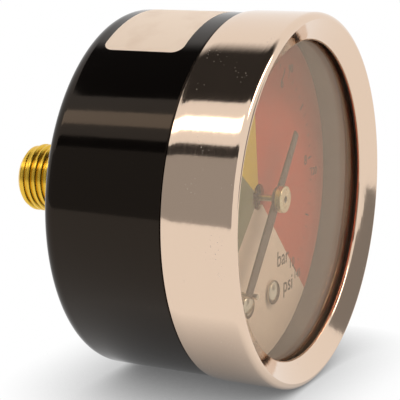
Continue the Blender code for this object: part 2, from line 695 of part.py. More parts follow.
turned("sector_arbor",
       rod_profile(SECTOR_ARBOR_RADIUS, back_plate_low + ARBOR_END_GAP, front_plate_top - ARBOR_END_GAP),
       steel, FINE_FACETS, sector_pivot, sector_axis)
turned("sector_pin",
       headed_profile(LINK_PIN_RADIUS, link_back - CLEARANCE, sector_face + CLEARANCE, LINK_PIN_HEAD_RADIUS,
                      sector_face + CLEARANCE + LINK_PIN_HEAD_HEIGHT),
       steel, FINE_FACETS, tail_pin_place, sector_axis)

# Pinion and pointer arbor in one piece, with a tooth on the line to the sector's pivot
arbor_top = hub_face - ARBOR_END_GAP
arbor_outline = rod_profile(ARBOR_RADIUS, back_plate_low + ARBOR_END_GAP, arbor_top)
arbor = turned("pinion_arbor", arbor_outline, steel, FINE_FACETS)
pinion_clocks = [SECTOR_PIVOT_CLOCK + 360.0 * i / PINION_TEETH for i in range(PINION_TEETH)]
pinion_loop = gear_teeth(pinion_pitch_radius, pinion_clocks)
pinion = solid_from_flat("pinion_teeth", [pinion_loop], sector_back - CLEARANCE, sector_face + CLEARANCE)
combine(arbor, pinion, "UNION")

# Movement plates and pillars
plate_discs = [(0.0, 0.0, PLATE_BOSS_RADIUS), (*sector_pivot, PLATE_EDGE)]
plate_discs += [(*spot, PLATE_EDGE) for spot in pillar_places.values()]
post_discs = [(*spot, PLATE_EDGE) for spot in dial_screw_places.values()]
screw_discs = [(*spot, PLATE_EDGE) for spot in movement_screw_places.values()]
pivot_holes = [circle(arbor_hole), circle(sector_arbor_hole, sector_pivot)]
screw_holes = [circle(MOVEMENT_SCREW_RADIUS + CLEARANCE, spot) for spot in movement_screw_places.values()]
front_loops = [hull(plate_discs + post_discs)] + pivot_holes
back_loops = [hull(plate_discs + screw_discs)] + pivot_holes + screw_holes
flat("movement_front_plate", front_loops, front_plate_low, front_plate_top, brass)
flat("movement_back_plate", back_loops, back_plate_low, back_plate_top, brass)
for name, spot in pillar_places.items():
    turned(f"movement_pillar_{name}",
           rod_profile(PILLAR_RADIUS, back_plate_top + CLEARANCE, front_plate_low - CLEARANCE),
           brass, FINE_FACETS, spot)

# Hairspring: one flat spiral of wire from the collet out to its stud
spiral_start = COLLET_RADIUS + CLEARANCE + HAIRSPRING_WIRE_RADIUS
spiral_count = HAIRSPRING_TURNS * HAIRSPRING_POINTS_PER_TURN
spiral_turns = np.arange(spiral_count + 1) / HAIRSPRING_POINTS_PER_TURN
spiral = [at_clock(spiral_start + HAIRSPRING_PITCH * turn, 360.0 * turn) for turn in spiral_turns]
spring_curve = bpy.data.curves.new("hairspring", "CURVE")
spring_curve.dimensions = "3D"
spring_curve.bevel_depth = HAIRSPRING_WIRE_RADIUS
spring_curve.bevel_resolution = 1
spring_curve.use_fill_caps = True
spring_line = spring_curve.splines.new("POLY")
spring_line.points.add(spiral_count)
for point, (x, y) in zip(spring_line.points, spiral):
    point.co = (x, y, 0.0, 1.0)
place(bpy.data.objects.new("hairspring", spring_curve), steel, height=hairspring_height)
track = np.array(spiral)
apart = np.linalg.norm(track[:, None] - track[None, :], axis=2)
steps_apart = np.abs(np.subtract.outer(np.arange(len(track)), np.arange(len(track))))
least_gap = apart[steps_apart > HAIRSPRING_POINTS_PER_TURN // 2].min() - 2 * HAIRSPRING_WIRE_RADIUS
print(f"hairspring least gap to itself {least_gap / MM:.2f} mm")
turned("hairspring_collet",
       ring_profile(COLLET_RADIUS, arbor_hole, hairspring_height - COLLET_THICKNESS / 2,
                    hairspring_height + COLLET_THICKNESS / 2),
       brass, FINE_FACETS)
half_stud = STUD_SIZE / 2
stud_place = (spiral[-1][0] + CLEARANCE + half_stud, spiral[-1][1])
stud = [(half_stud * sx, half_stud * sy) for sx, sy in ((-1, -1), (1, -1), (1, 1), (-1, 1))]
stud_top = front_plate_low - CLEARANCE
flat("hairspring_stud", [stud], hairspring_height - half_stud, stud_top, brass, stud_place)

# Dial with its holes, and the two screws and posts that hold it
dial_loops = [circle(dial_radius, facets=WIDE_FACETS), circle(DIAL_HOLE_RADIUS)]
dial_loops += [circle(dial_screw_hole, spot) for spot in dial_screw_places.values()]
dial_loops.append(circle(STOP_PIN_RADIUS + PIVOT_CLEARANCE, stop_pin_place))
flat("dial", dial_loops, dial_back, dial_face, dial_white)
screw_seat = dial_face + CLEARANCE
post_low = front_plate_top + CLEARANCE
for name, spot in dial_screw_places.items():
    turned(f"dial_post_{name}",
           ring_profile(DIAL_POST_RADIUS, dial_screw_hole, post_low, dial_back - CLEARANCE),
           brass, FINE_FACETS, spot)
    turned(f"dial_screw_{name}",
           headed_profile(DIAL_SCREW_RADIUS, post_low, screw_seat, DIAL_SCREW_HEAD_RADIUS,
                          screw_seat + DIAL_SCREW_HEAD_HEIGHT),
           steel, FINE_FACETS, spot)
turned("stop_pin", rod_profile(STOP_PIN_RADIUS, dial_back, dial_face + STOP_PIN_HEIGHT), steel, FINE_FACETS,
       stop_pin_place)

# Pointer: tapered blade, eye and widening counterweight tail, drawn at twelve o'clock
pointer_loop = [
    (-POINTER_TIP_WIDTH / 2, POINTER_LENGTH),
    (POINTER_TIP_WIDTH / 2, POINTER_LENGTH),
]
eye_side = math.degrees(math.asin(POINTER_ROOT_WIDTH / 2 / POINTER_EYE_RADIUS))
pointer_loop += arc(POINTER_EYE_RADIUS, eye_side, 180.0 - eye_side, 7)
pointer_loop += [(POINTER_TAIL_WIDTH / 2, -POINTER_TAIL), (-POINTER_TAIL_WIDTH / 2, -POINTER_TAIL)]
pointer_loop += arc(POINTER_EYE_RADIUS, 180.0 + eye_side, 360.0 - eye_side, 7)
pointer_loops = [pointer_loop, circle(arbor_hole)]
flat("pointer", pointer_loops, pointer_back, pointer_face, pointer_black, turn=pointer_rest_clock)
hub_profile = [
    (HUB_RADIUS - HUB_CHAMFER, hub_face),
    (HUB_RADIUS, hub_face - HUB_CHAMFER),
    (HUB_RADIUS, hub_back),
    (arbor_hole, hub_back),
    (arbor_hole, hub_face),
]
turned("pointer_hub", hub_profile, brass)
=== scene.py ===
import json
import math

import bmesh
import bpy
from mathutils import Matrix, Vector


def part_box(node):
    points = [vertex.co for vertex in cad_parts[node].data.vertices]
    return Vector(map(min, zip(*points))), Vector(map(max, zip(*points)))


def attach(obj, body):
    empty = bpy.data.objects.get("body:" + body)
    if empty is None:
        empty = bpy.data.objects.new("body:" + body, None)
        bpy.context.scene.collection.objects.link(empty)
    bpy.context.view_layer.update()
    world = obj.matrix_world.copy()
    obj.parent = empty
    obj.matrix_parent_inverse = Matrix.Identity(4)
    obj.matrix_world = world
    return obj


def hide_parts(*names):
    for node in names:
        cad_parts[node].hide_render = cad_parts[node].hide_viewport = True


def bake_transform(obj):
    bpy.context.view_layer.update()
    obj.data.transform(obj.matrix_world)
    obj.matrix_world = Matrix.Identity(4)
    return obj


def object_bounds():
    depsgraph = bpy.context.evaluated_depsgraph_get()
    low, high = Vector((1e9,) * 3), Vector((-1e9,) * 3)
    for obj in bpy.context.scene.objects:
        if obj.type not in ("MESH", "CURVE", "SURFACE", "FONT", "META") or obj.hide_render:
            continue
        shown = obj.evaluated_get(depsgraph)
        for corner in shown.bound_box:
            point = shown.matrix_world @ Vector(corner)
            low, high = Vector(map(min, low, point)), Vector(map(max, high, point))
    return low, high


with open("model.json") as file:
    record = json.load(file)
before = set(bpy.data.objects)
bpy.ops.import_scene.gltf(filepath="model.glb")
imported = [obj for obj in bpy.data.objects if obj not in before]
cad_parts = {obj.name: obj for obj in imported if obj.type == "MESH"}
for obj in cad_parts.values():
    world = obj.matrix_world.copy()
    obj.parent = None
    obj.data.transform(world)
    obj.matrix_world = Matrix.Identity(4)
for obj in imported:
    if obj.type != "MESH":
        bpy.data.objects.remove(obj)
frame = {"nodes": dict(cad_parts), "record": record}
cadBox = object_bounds()
nodes = frame["nodes"]
mm = 0.001
print("frame loaded with", len(nodes), "CAD nodes")

# Pieces are drawn as the dial is read: x right, y up, z from the connection's end to the reader
standing = Matrix.Rotation(math.pi / 2, 4, "X")
scene = bpy.context.scene

# Camera

cameraView = {
    "azimuth": -63.262,
    "elevation": 11.038,
    "distance": 246.58 * mm,
    "target": Vector((-12.378, -43.3, 1.084)) * mm,
    "fieldOfView": 16.379,
    "sensor": 36.0,
}
azimuth, elevation = math.radians(cameraView["azimuth"]), math.radians(cameraView["elevation"])
towardsCamera = Vector((
    math.sin(azimuth) * math.cos(elevation),
    -math.cos(azimuth) * math.cos(elevation),
    math.sin(elevation),
))
cameraRight = Vector((math.cos(azimuth), math.sin(azimuth), 0.0))
cameraUp = towardsCamera.cross(cameraRight)
lens = bpy.data.cameras.new("photoCamera")
lens.sensor_width = cameraView["sensor"]
lens.lens = cameraView["sensor"] / 2 / math.tan(math.radians(cameraView["fieldOfView"] / 2))
lens.clip_start = 5 * mm
camera = bpy.data.objects.new("photoCamera", lens)
turn = Matrix((cameraRight, cameraUp, towardsCamera)).transposed().to_4x4()
camera.matrix_world = Matrix.Translation(
    cameraView["target"] + towardsCamera * cameraView["distance"]
) @ turn
scene.collection.objects.link(camera)
scene.camera = camera
scene.view_settings.view_transform = "Standard"
print("camera set")


# Materials

def linear(hexColour):
    parts = [int(hexColour[i:i + 2], 16) / 255 for i in (1, 3, 5)]
    return [*(p / 12.92 if p <= 0.04045 else ((p + 0.055) / 1.055) ** 2.4 for p in parts), 1.0]


def add(tree, kind, inputs=None, **settings):
    # Inputs are numbers, colours or other nodes' sockets, by name or by place
    node = tree.nodes.new(kind)
    for key, value in settings.items():
        setattr(node, key, value)
    for key, value in (inputs or {}).items():
        if isinstance(value, bpy.types.NodeSocket):
            tree.links.new(value, node.inputs[key])
        else:
            node.inputs[key].default_value = value
    return node


def perMetre(millimetres):
    return 1 / (millimetres * mm)  # a texture's scale for a pattern of that size


def noise(tree, place, millimetres, detail):
    return add(tree, "ShaderNodeTexNoise", {
        "Vector": place,
        "Scale": perMetre(millimetres),
        "Detail": detail,
    })


def startMaterial(name, **shaderInputs):
    material = bpy.data.materials.new(name)
    material.use_nodes = True
    tree = material.node_tree
    shader = tree.nodes["Principled BSDF"]
    for key, value in shaderInputs.items():
        shader.inputs[key.replace("_", " ")].default_value = value
    place = add(tree, "ShaderNodeTexCoord").outputs["Object"]
    return material, tree, shader, place


def rampStops(node, stops):
    # A stop is a place from 0 to 1 and a hex colour
    elements = node.color_ramp.elements
    while len(elements) < len(stops):
        elements.new(0.5)
    for element, (where, colour) in zip(elements, stops):
        element.position = where
        element.color = linear(colour)


# Bright chrome plate on spun steel: a mirror with a warm tint that is painted warm reflection,
# crossed by faint polishing lines round the gauge, with specks of dust that show in the dark reflections
chromePlate = {
    # The warm tint is painted reflection; the dust colour is real
    "tint": "#e2c9b3",
    "dust": "#d6c6b6",
    "roughness": (0.05, 0.11),
    "polishLine": 0.45,
    "polishRun": 14.0,
    "brush": (2.5, 0.5),
    "ripple": 9.0,
    "dustSpeck": 0.55,
    "dustPatch": 5.0,
}
chrome, tree, shader, place = startMaterial("chromePlate", Metallic=1.0)
stretch = add(tree, "ShaderNodeMapping", {
    "Vector": place,
    "Scale": (
        perMetre(chromePlate["polishRun"]),
        perMetre(chromePlate["polishLine"]),
        perMetre(chromePlate["polishRun"]),
    ),
})
lines = add(tree, "ShaderNodeTexNoise", {"Vector": stretch.outputs[0], "Scale": 1.0, "Detail": 3.0})
ripple = noise(tree, place, chromePlate["ripple"], 2.0)
specks = add(tree, "ShaderNodeTexVoronoi", {"Vector": place, "Scale": perMetre(chromePlate["dustSpeck"])})
patches = noise(tree, place, chromePlate["dustPatch"], 2.0)
speckSize = add(tree, "ShaderNodeMapRange", {
    "Value": patches.outputs["Fac"],
    "From Min": 0.5,
    "From Max": 0.8,
    "To Min": 0.0,
    "To Max": 0.26,
})
dusty = add(tree, "ShaderNodeMath", {
    0: specks.outputs["Distance"],
    1: speckSize.outputs["Result"],
}, operation="LESS_THAN")
# Base colour: the painted warm reflection, with real dust specks mixed in
tint = add(tree, "ShaderNodeMix", {
    "Factor": dusty.outputs[0],
    6: linear(chromePlate["tint"]),
    7: linear(chromePlate["dust"]),
}, data_type="RGBA")
polish = add(tree, "ShaderNodeMapRange", {
    "Value": lines.outputs["Fac"],
    "To Min": chromePlate["roughness"][0],
    "To Max": chromePlate["roughness"][1],
})
dulled = add(tree, "ShaderNodeMath", {
    0: dusty.outputs[0],
    1: 0.5,
    2: polish.outputs["Result"],
}, operation="MULTIPLY_ADD")
waves = add(tree, "ShaderNodeBump", {
    "Height": ripple.outputs["Fac"],
    "Strength": 0.25,
    "Distance": 0.04 * mm,
})
brush = add(tree, "ShaderNodeMapping", {
    "Vector": place,
    "Scale": (
        perMetre(chromePlate["brush"][0]),
        perMetre(chromePlate["brush"][1]),
        perMetre(chromePlate["brush"][0]),
    ),
})
strokes = add(tree, "ShaderNodeTexNoise", {"Vector": brush.outputs[0], "Scale": 1.0, "Detail": 2.0})
brushed = add(tree, "ShaderNodeBump", {
    "Height": strokes.outputs["Fac"],
    "Normal": waves.outputs["Normal"],
    "Strength": 0.3,
    "Distance": 0.03 * mm,
})
grooves = add(tree, "ShaderNodeBump", {
    "Height": lines.outputs["Fac"],
    "Normal": brushed.outputs["Normal"],
    "Strength": 0.2,
    "Distance": 0.004 * mm,
})
tree.links.new(tint.outputs[2], shader.inputs["Base Color"])
tree.links.new(dulled.outputs[0], shader.inputs["Roughness"])
tree.links.new(grooves.outputs["Normal"], shader.inputs["Normal"])

# Gloss black stove enamel: deep black with a soft mirror tinted warm as painted warm reflection,
# a little orange peel and pale dust
blackEnamel = {
    "tint": "#080707",
    # gloss tints the mirror warm: a painted warm reflection
    "gloss": "#f2d8c0",
    "dust": "#3a3633",
    "roughness": (0.05, 0.11),
    "peel": 1.8,
    "dustSpeck": 0.8,
    "dustPatch": 9.0,
}
# Specular tint: painted warm reflection
enamel, tree, shader, place = startMaterial(
    "blackEnamel", IOR=1.4, Specular_Tint=linear(blackEnamel["gloss"])
)
peel = noise(tree, place, blackEnamel["peel"], 2.0)
specks = add(tree, "ShaderNodeTexVoronoi", {"Vector": place, "Scale": perMetre(blackEnamel["dustSpeck"])})
patches = noise(tree, place, blackEnamel["dustPatch"], 2.0)
speckSize = add(tree, "ShaderNodeMapRange", {
    "Value": patches.outputs["Fac"],
    "From Min": 0.55,
    "From Max": 0.8,
    "To Min": 0.0,
    "To Max": 0.12,
})
dusty = add(tree, "ShaderNodeMath", {
    0: specks.outputs["Distance"],
    1: speckSize.outputs["Result"],
}, operation="LESS_THAN")
tint = add(tree, "ShaderNodeMix", {
    "Factor": dusty.outputs[0],
    6: linear(blackEnamel["tint"]),
    7: linear(blackEnamel["dust"]),
}, data_type="RGBA")
gloss = add(tree, "ShaderNodeMapRange", {
    "Value": patches.outputs["Fac"],
    "To Min": blackEnamel["roughness"][0],
    "To Max": blackEnamel["roughness"][1],
})
skin = add(tree, "ShaderNodeBump", {
    "Height": peel.outputs["Fac"],
    "Strength": 0.12,
    "Distance": 0.03 * mm,
})
tree.links.new(tint.outputs[2], shader.inputs["Base Color"])
tree.links.new(gloss.outputs["Result"], shader.inputs["Roughness"])
tree.links.new(skin.outputs["Normal"], shader.inputs["Normal"])


# Turned metals share one look: a tint that tarnishes in patches, and fine turning lines
turnedMetals = {
    "machinedBrass": {"tint": "#f2cb4e", "tarnish": "#deb03a", "roughness": (0.2, 0.32), "patch": 3.0},
    "springBronze": {"tint": "#c58f5a", "tarnish": "#9a6a41", "roughness": (0.25, 0.42), "patch": 4.0},
    "brightSteel": {"tint": "#d6cebf", "tarnish": "#b3a996", "roughness": (0.08, 0.2), "patch": 2.0},
    "paleBrass": {"tint": "#f3e4c6", "tarnish": "#e2cfa6", "roughness": (0.22, 0.34), "patch": 1.6},
}
turningLine = 0.12
metals = {}
for name, look in turnedMetals.items():
    metal, tree, shader, place = startMaterial(name, Metallic=1.0)
    patches = noise(tree, place, look["patch"], 3.0)
    stretch = add(tree, "ShaderNodeMapping", {
        "Vector": place,
        "Scale": (perMetre(look["patch"]), perMetre(turningLine), perMetre(look["patch"])),
    })
    lines = add(tree, "ShaderNodeTexNoise", {"Vector": stretch.outputs[0], "Scale": 1.0, "Detail": 2.0})
    tint = add(tree, "ShaderNodeMix", {
        "Factor": patches.outputs["Fac"],
        6: linear(look["tint"]),
        7: linear(look["tarnish"]),
    }, data_type="RGBA")
    polish = add(tree, "ShaderNodeMapRange", {
        "Value": lines.outputs["Fac"],
        "To Min": look["roughness"][0],
        "To Max": look["roughness"][1],
    })
    marks = add(tree, "ShaderNodeBump", {
        "Height": lines.outputs["Fac"],
        "Strength": 0.2,
        "Distance": 0.01 * mm,
    })
    tree.links.new(tint.outputs[2], shader.inputs["Base Color"])
    tree.links.new(polish.outputs["Result"], shader.inputs["Roughness"])
    tree.links.new(marks.outputs["Normal"], shader.inputs["Normal"])
    metals[name] = metal

# Moulded black rubber: matt, faintly grained
blackRubber = {"tint": "#26221f", "bloom": "#3a342f", "grain": 0.4}
rubber, tree, shader, place = startMaterial("blackRubber", Roughness=0.7)
grain = noise(tree, place, blackRubber["grain"], 2.0)
tint = add(tree, "ShaderNodeMix", {
    "Factor": grain.outputs["Fac"],
    6: linear(blackRubber["tint"]),
    7: linear(blackRubber["bloom"]),
}, data_type="RGBA")
marks = add(tree, "ShaderNodeBump", {
    "Height": grain.outputs["Fac"],
    "Strength": 0.3,
    "Distance": 0.03 * mm,
})
tree.links.new(tint.outputs[2], shader.inputs["Base Color"])
tree.links.new(marks.outputs["Normal"], shader.inputs["Normal"])

# Printed white enamel: flat colour zones as sectors of the scale, satin, with a little mottling
dialZones = {
    "white": "#e8d3c3",
    "green": "#74795a",
    "yellow": "#d8b428",
    "red": "#c4462a",
    "greenFrom": 225.0,
    "yellowFrom": 305.0,
    "redFrom": 352.0,
    "whiteFrom": 135.0,
    "mottle": 2.5,
}
dialEnamel, tree, shader, place = startMaterial("printedDialEnamel", Roughness=0.42)
axes = add(tree, "ShaderNodeSeparateXYZ", {0: place})
clock = add(tree, "ShaderNodeMath", {0: axes.outputs["X"], 1: axes.outputs["Z"]}, operation="ARCTAN2")
share = add(tree, "ShaderNodeMapRange", {
    "Value": clock.outputs[0],
    "From Min": -math.pi,
    "From Max": math.pi,
})
zones = add(tree, "ShaderNodeValToRGB", {"Fac": share.outputs["Result"]})
zones.color_ramp.interpolation = "CONSTANT"
rampStops(zones, [
    (0.0, dialZones["white"]),
    (dialZones["greenFrom"] / 360 - 0.5, dialZones["green"]),
    (dialZones["yellowFrom"] / 360 - 0.5, dialZones["yellow"]),
    (dialZones["redFrom"] / 360 - 0.5, dialZones["red"]),
    (dialZones["whiteFrom"] / 360 + 0.5, dialZones["white"]),
])
mottle = noise(tree, place, dialZones["mottle"], 4.0)
shade = add(tree, "ShaderNodeMapRange", {"Value": mottle.outputs["Fac"], "To Min": 0.9, "To Max": 1.08})
aged = add(tree, "ShaderNodeMix", {
    "Factor": 1.0,
    6: zones.outputs["Color"],
    7: shade.outputs["Result"],
}, data_type="RGBA", blend_type="MULTIPLY")
tree.links.new(aged.outputs[2], shader.inputs["Base Color"])

# Satin black paint on the pointer, its gloss tinted warm as painted warm reflection,
# and the grey-brown ink of the dial's figures
flatPaints = {
    "pointerPaint": {
        "tint": "#191716",
        "worn": "#252220",
        "roughness": 0.25,
        # The pointer's warm gloss is painted warm reflection
        "gloss": "#ead0b8",
        "patch": 1.5,
    },
    "dialInk": {
        "tint": "#38312e",
        "worn": "#4c4440",
        "roughness": 0.5,
        "gloss": "#ffffff",
        "patch": 0.6,
    },
}
paints = {}
for name, look in flatPaints.items():
    # Specular tint: painted warm reflection on the pointer, plain white on the ink
    paint, tree, shader, place = startMaterial(
        name, Roughness=look["roughness"], Specular_Tint=linear(look["gloss"])
    )
    patches = noise(tree, place, look["patch"], 3.0)
    tint = add(tree, "ShaderNodeMix", {
        "Factor": patches.outputs["Fac"],
        6: linear(look["tint"]),
        7: linear(look["worn"]),
    }, data_type="RGBA")
    tree.links.new(tint.outputs[2], shader.inputs["Base Color"])
    paints[name] = paint

# Coated label paper: warm white, faintly fibrous, a little soiled
labelPaper = {"tint": "#fdefe2", "soil": "#eddacb", "fibre": 0.7, "patch": 6.0}
paper, tree, shader, place = startMaterial("labelPaper", Roughness=0.5)
fibre = noise(tree, place, labelPaper["fibre"], 3.0)
soil = noise(tree, place, labelPaper["patch"], 4.0)
soiled = add(tree, "ShaderNodeMapRange", {"Value": soil.outputs["Fac"], "From Min": 0.5, "From Max": 0.9})
tint = add(tree, "ShaderNodeMix", {
    "Factor": soiled.outputs["Result"],
    6: linear(labelPaper["tint"]),
    7: linear(labelPaper["soil"]),
}, data_type="RGBA")
marks = add(tree, "ShaderNodeBump", {
    "Height": fibre.outputs["Fac"],
    "Strength": 0.15,
    "Distance": 0.02 * mm,
})
tree.links.new(tint.outputs[2], shader.inputs["Base Color"])
tree.links.new(marks.outputs["Normal"], shader.inputs["Normal"])

# Flat window glass: clear, its mirror image tinted warm as painted warm reflection, with a thin uneven
# veil of dusty film; lamps shine through it
windowGlass = {
    "tint": "#f7f6f2",
    # gloss: painted warm reflection on the glass's mirror
    "gloss": "#f7e2cd",
    "film": "#c9a188",
    "filmCover": (0.0, 0.05),
    "smear": 8.0,
    "roughness": 0.02,
    "ior": 1.5,
}
glass, tree, shader, place = startMaterial("windowGlass")
tree.nodes.remove(shader)
smear = noise(tree, place, windowGlass["smear"], 5.0)
cover = add(tree, "ShaderNodeMapRange", {
    "Value": smear.outputs["Fac"],
    "To Min": windowGlass["filmCover"][0],
    "To Max": windowGlass["filmCover"][1],
})
# The mirror's warm colour is painted reflection
mirror = add(tree, "ShaderNodeBsdfAnisotropic", {
    "Color": linear(windowGlass["gloss"]),
    "Roughness": windowGlass["roughness"],
})
through = add(tree, "ShaderNodeBsdfRefraction", {
    "Color": linear(windowGlass["tint"]),
    "IOR": windowGlass["ior"],
})
facing = add(tree, "ShaderNodeFresnel", {"IOR": windowGlass["ior"]})
pane = add(tree, "ShaderNodeMixShader", {
    0: facing.outputs[0],
    1: through.outputs["BSDF"],
    2: mirror.outputs["BSDF"],
})
film = add(tree, "ShaderNodeBsdfDiffuse", {"Color": linear(windowGlass["film"])})
filmed = add(tree, "ShaderNodeMixShader", {
    0: cover.outputs["Result"],
    1: pane.outputs[0],
    2: film.outputs["BSDF"],
})
rays = add(tree, "ShaderNodeLightPath")
clear = add(tree, "ShaderNodeBsdfTransparent")
lampLit = add(tree, "ShaderNodeMixShader", {
    0: rays.outputs["Is Shadow Ray"],
    1: filmed.outputs[0],
    2: clear.outputs[0],
})
tree.links.new(lampLit.outputs[0], tree.nodes["Material Output"].inputs["Surface"])
print("materials made")


# Shapes

def span(node):
    low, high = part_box(node)
    return -high.y, -low.y  # heights of a node's back and front along the gauge's axis


def radiusOf(node):
    low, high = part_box(node)
    return (high.x - low.x) / 2


def centreOf(node):
    low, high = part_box(node)
    return (low.x + high.x) / 2, (low.z + high.z) / 2


def softened(corners, arcSteps):
    # A closed outline from corners (radius, height, round), each round a short curve
    points = []
    for i, (radius, height, rounding) in enumerate(corners):
        corner = Vector((radius, height))
        if rounding == 0:
            points.append(corner)
            continue
        before = Vector(corners[i - 1][:2])
        after = Vector(corners[(i + 1) % len(corners)][:2])
        start = corner + (before - corner).normalized() * rounding
        end = corner + (after - corner).normalized() * rounding
        for step in range(arcSteps + 1):
            t = step / arcSteps
            points.append(start.lerp(corner, t).lerp(corner.lerp(end, t), t))
    return [tuple(p) for p in points]


def turnedShape(profile, steps):
    # Turns an outline of (radius, height) about the axis; one that starts off the axis is a ring
    shape = bmesh.new()
    rings = []
    for radius, height in profile:
        count = steps if radius > 0 else 1
        angles = [2 * math.pi * i / steps for i in range(count)]
        rings.append([
            shape.verts.new((radius * math.cos(a), radius * math.sin(a), height)) for a in angles
        ])
    pairs = list(zip(rings, rings[1:]))
    if profile[0][0] > 0:
        pairs.append((rings[-1], rings[0]))
    for one, two in pairs:
        for i in range(steps):
            j = (i + 1) % steps
            loop = [one[i % len(one)], one[j % len(one)], two[j % len(two)], two[i % len(two)]]
            shape.faces.new(list(dict.fromkeys(loop)))
    bmesh.ops.recalc_face_normals(shape, faces=shape.faces)
    return shape


sharpest = math.radians(32.0)


def finishPiece(name, shape, material, body, slotName, *replaced, bend=None):
    # Stands a shape up in the row frame, as a piece that rides on a body, or one baked where it stands when
    # bend is given
    shape.transform(standing)
    for face in shape.faces:
        face.smooth = True
    for edge in shape.edges:
        edge.smooth = edge.is_boundary or edge.calc_face_angle(0.0) < sharpest
    mesh = bpy.data.meshes.new(name)
    shape.to_mesh(mesh)
    shape.free()
    mesh.materials.clear()
    mesh.materials.append(material)
    piece = bpy.data.objects.new(name, mesh)
    scene.collection.objects.link(piece)
    if bend:
        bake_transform(piece)
    else:
        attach(piece, body)
    if replaced:
        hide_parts(*replaced)
    return piece


def evaluated(obj):
    # The plain mesh of an object with its modifiers, which is then removed
    mesh = bpy.data.meshes.new_from_object(obj.evaluated_get(bpy.context.evaluated_depsgraph_get()))
    bpy.data.objects.remove(obj, do_unlink=True)
    return mesh


# Bezel: spun ring with a faintly barrelled skirt, a rolled rim and a lip dished to the window

bezelForm = {
    "wall": 0.6 * mm,
    "barrel": 0.05 * mm,
    "barrelSteps": 14,
    "backRound": 0.35 * mm,
    "backBreak": 0.3,
    "rimWidth": 1.2 * mm,
    "rimDepth": 1.35 * mm,
    "rimSteps": 12,
    "lipRadius": 29.0 * mm,
    "lipDepth": 2.15 * mm,
    "lipBead": 0.55 * mm,
    "beadDrop": 0.55,
    "beadFrom": 300.0,
    "beadTurn": 180.0,
    "beadSteps": 10,
    "shell": 0.54 * mm,
    "shellInset": 0.225 * mm,
    "steps": 256,
}
bezelBack, bezelFace = span("bezel")
bezelRadius = radiusOf("bezel")
bezelBore = bezelRadius - bezelForm["wall"]
rimCrest = bezelRadius - bezelForm["rimWidth"]
lipEdge = bezelFace - bezelForm["lipDepth"]
rim = [
    (
        rimCrest + bezelForm["rimWidth"] * math.sin(a),
        bezelFace - bezelForm["rimDepth"] * (1 - math.cos(a)),
    )
    for a in [math.pi / 2 * i / bezelForm["rimSteps"] for i in range(bezelForm["rimSteps"] + 1)]
]
skirtFront = bezelFace - bezelForm["rimDepth"]
skirtBack = bezelBack + bezelForm["backRound"]
skirt = []
for i in range(1, bezelForm["barrelSteps"]):
    t = i / bezelForm["barrelSteps"]
    droop = bezelForm["barrel"] * max(0.0, 2 * t - 1) ** 3
    skirt.append((bezelRadius - droop, skirtFront + (skirtBack - skirtFront) * t))
backEdge = bezelRadius - bezelForm["barrel"] - bezelForm["backRound"]
# The lip's edge is rolled under to a round bead
bead = bezelForm["lipBead"]
beadCentre = (bezelForm["lipRadius"] + bead, lipEdge - bead * bezelForm["beadDrop"])
beadAngles = [
    math.radians(bezelForm["beadFrom"] - bezelForm["beadTurn"] * i / bezelForm["beadSteps"])
    for i in range(bezelForm["beadSteps"] + 1)
]
lipBead = [(beadCentre[0] + bead * math.cos(a), beadCentre[1] + bead * math.sin(a)) for a in beadAngles]
backBreak = bezelForm["backRound"] * bezelForm["backBreak"]
bezelProfile = lipBead + rim + skirt
bezelProfile += [
    (bezelRadius - bezelForm["barrel"] - backBreak, bezelBack + backBreak),
    (backEdge, bezelBack),
    (bezelBore, bezelBack),
    (bezelBore, skirtFront),
    (rimCrest - bezelForm["shellInset"], bezelFace - bezelForm["shell"]),
]
bezelShape = turnedShape(bezelProfile, bezelForm["steps"])
finishPiece("bezelRing", bezelShape, chrome, "housing", "chromed_steel", "bezel")

# Case: drawn cup with a stepped neck under the bezel and a rounded back edge

caseForm = {
    "wall": 1.0 * mm,
    "backRound": 2.6 * mm,
    "rimRound": 0.2 * mm,
    "shoulderRound": 0.25 * mm,
    "seatGap": 0.3 * mm,
    "hole": 6.8 * mm,
    "arcSteps": 10,
    "steps": 256,
}
caseBack, caseRim = span("case")
caseRadius = radiusOf("case")
caseNeck = bezelBore - caseForm["seatGap"]
caseShoulder = bezelBack - caseForm["seatGap"]
wall = caseForm["wall"]
caseProfile = softened([
    (caseNeck, caseRim, caseForm["rimRound"]),
    (caseNeck, caseShoulder, 0.0),
    (caseRadius, caseShoulder, caseForm["shoulderRound"]),
    (caseRadius, caseBack, caseForm["backRound"]),
    (caseForm["hole"], caseBack, caseForm["rimRound"]),
    (caseForm["hole"], caseBack + wall, 0.0),
    (caseRadius - wall, caseBack + wall, caseForm["backRound"] - wall),
    (caseRadius - wall, caseShoulder - wall, 0.0),
    (caseNeck - wall, caseShoulder - wall / 2, 0.0),
    (caseNeck - wall, caseRim, caseForm["rimRound"]),
], caseForm["arcSteps"])
caseShape = turnedShape(caseProfile, caseForm["steps"])
finishPiece("caseCup", caseShape, enamel, "housing", "black_enamel", "case")

# Window: a flat glass disc with ground edges

windowForm = {"chamfer": 0.2 * mm, "steps": 128}
windowBack, windowFace = span("window")
windowRadius = radiusOf("window")
edge = windowForm["chamfer"]
windowProfile = [
    (0.0, windowFace),
    (windowRadius - edge, windowFace),
    (windowRadius, windowFace - edge),
    (windowRadius, windowBack + edge),
    (windowRadius - edge, windowBack),
    (0.0, windowBack),
]
windowShape = turnedShape(windowProfile, windowForm["steps"])
finishPiece("windowDisc", windowShape, glass, "housing", "window_glass", "window")

# Seal: a black rubber wedge that fills the groove between the glass and the lip

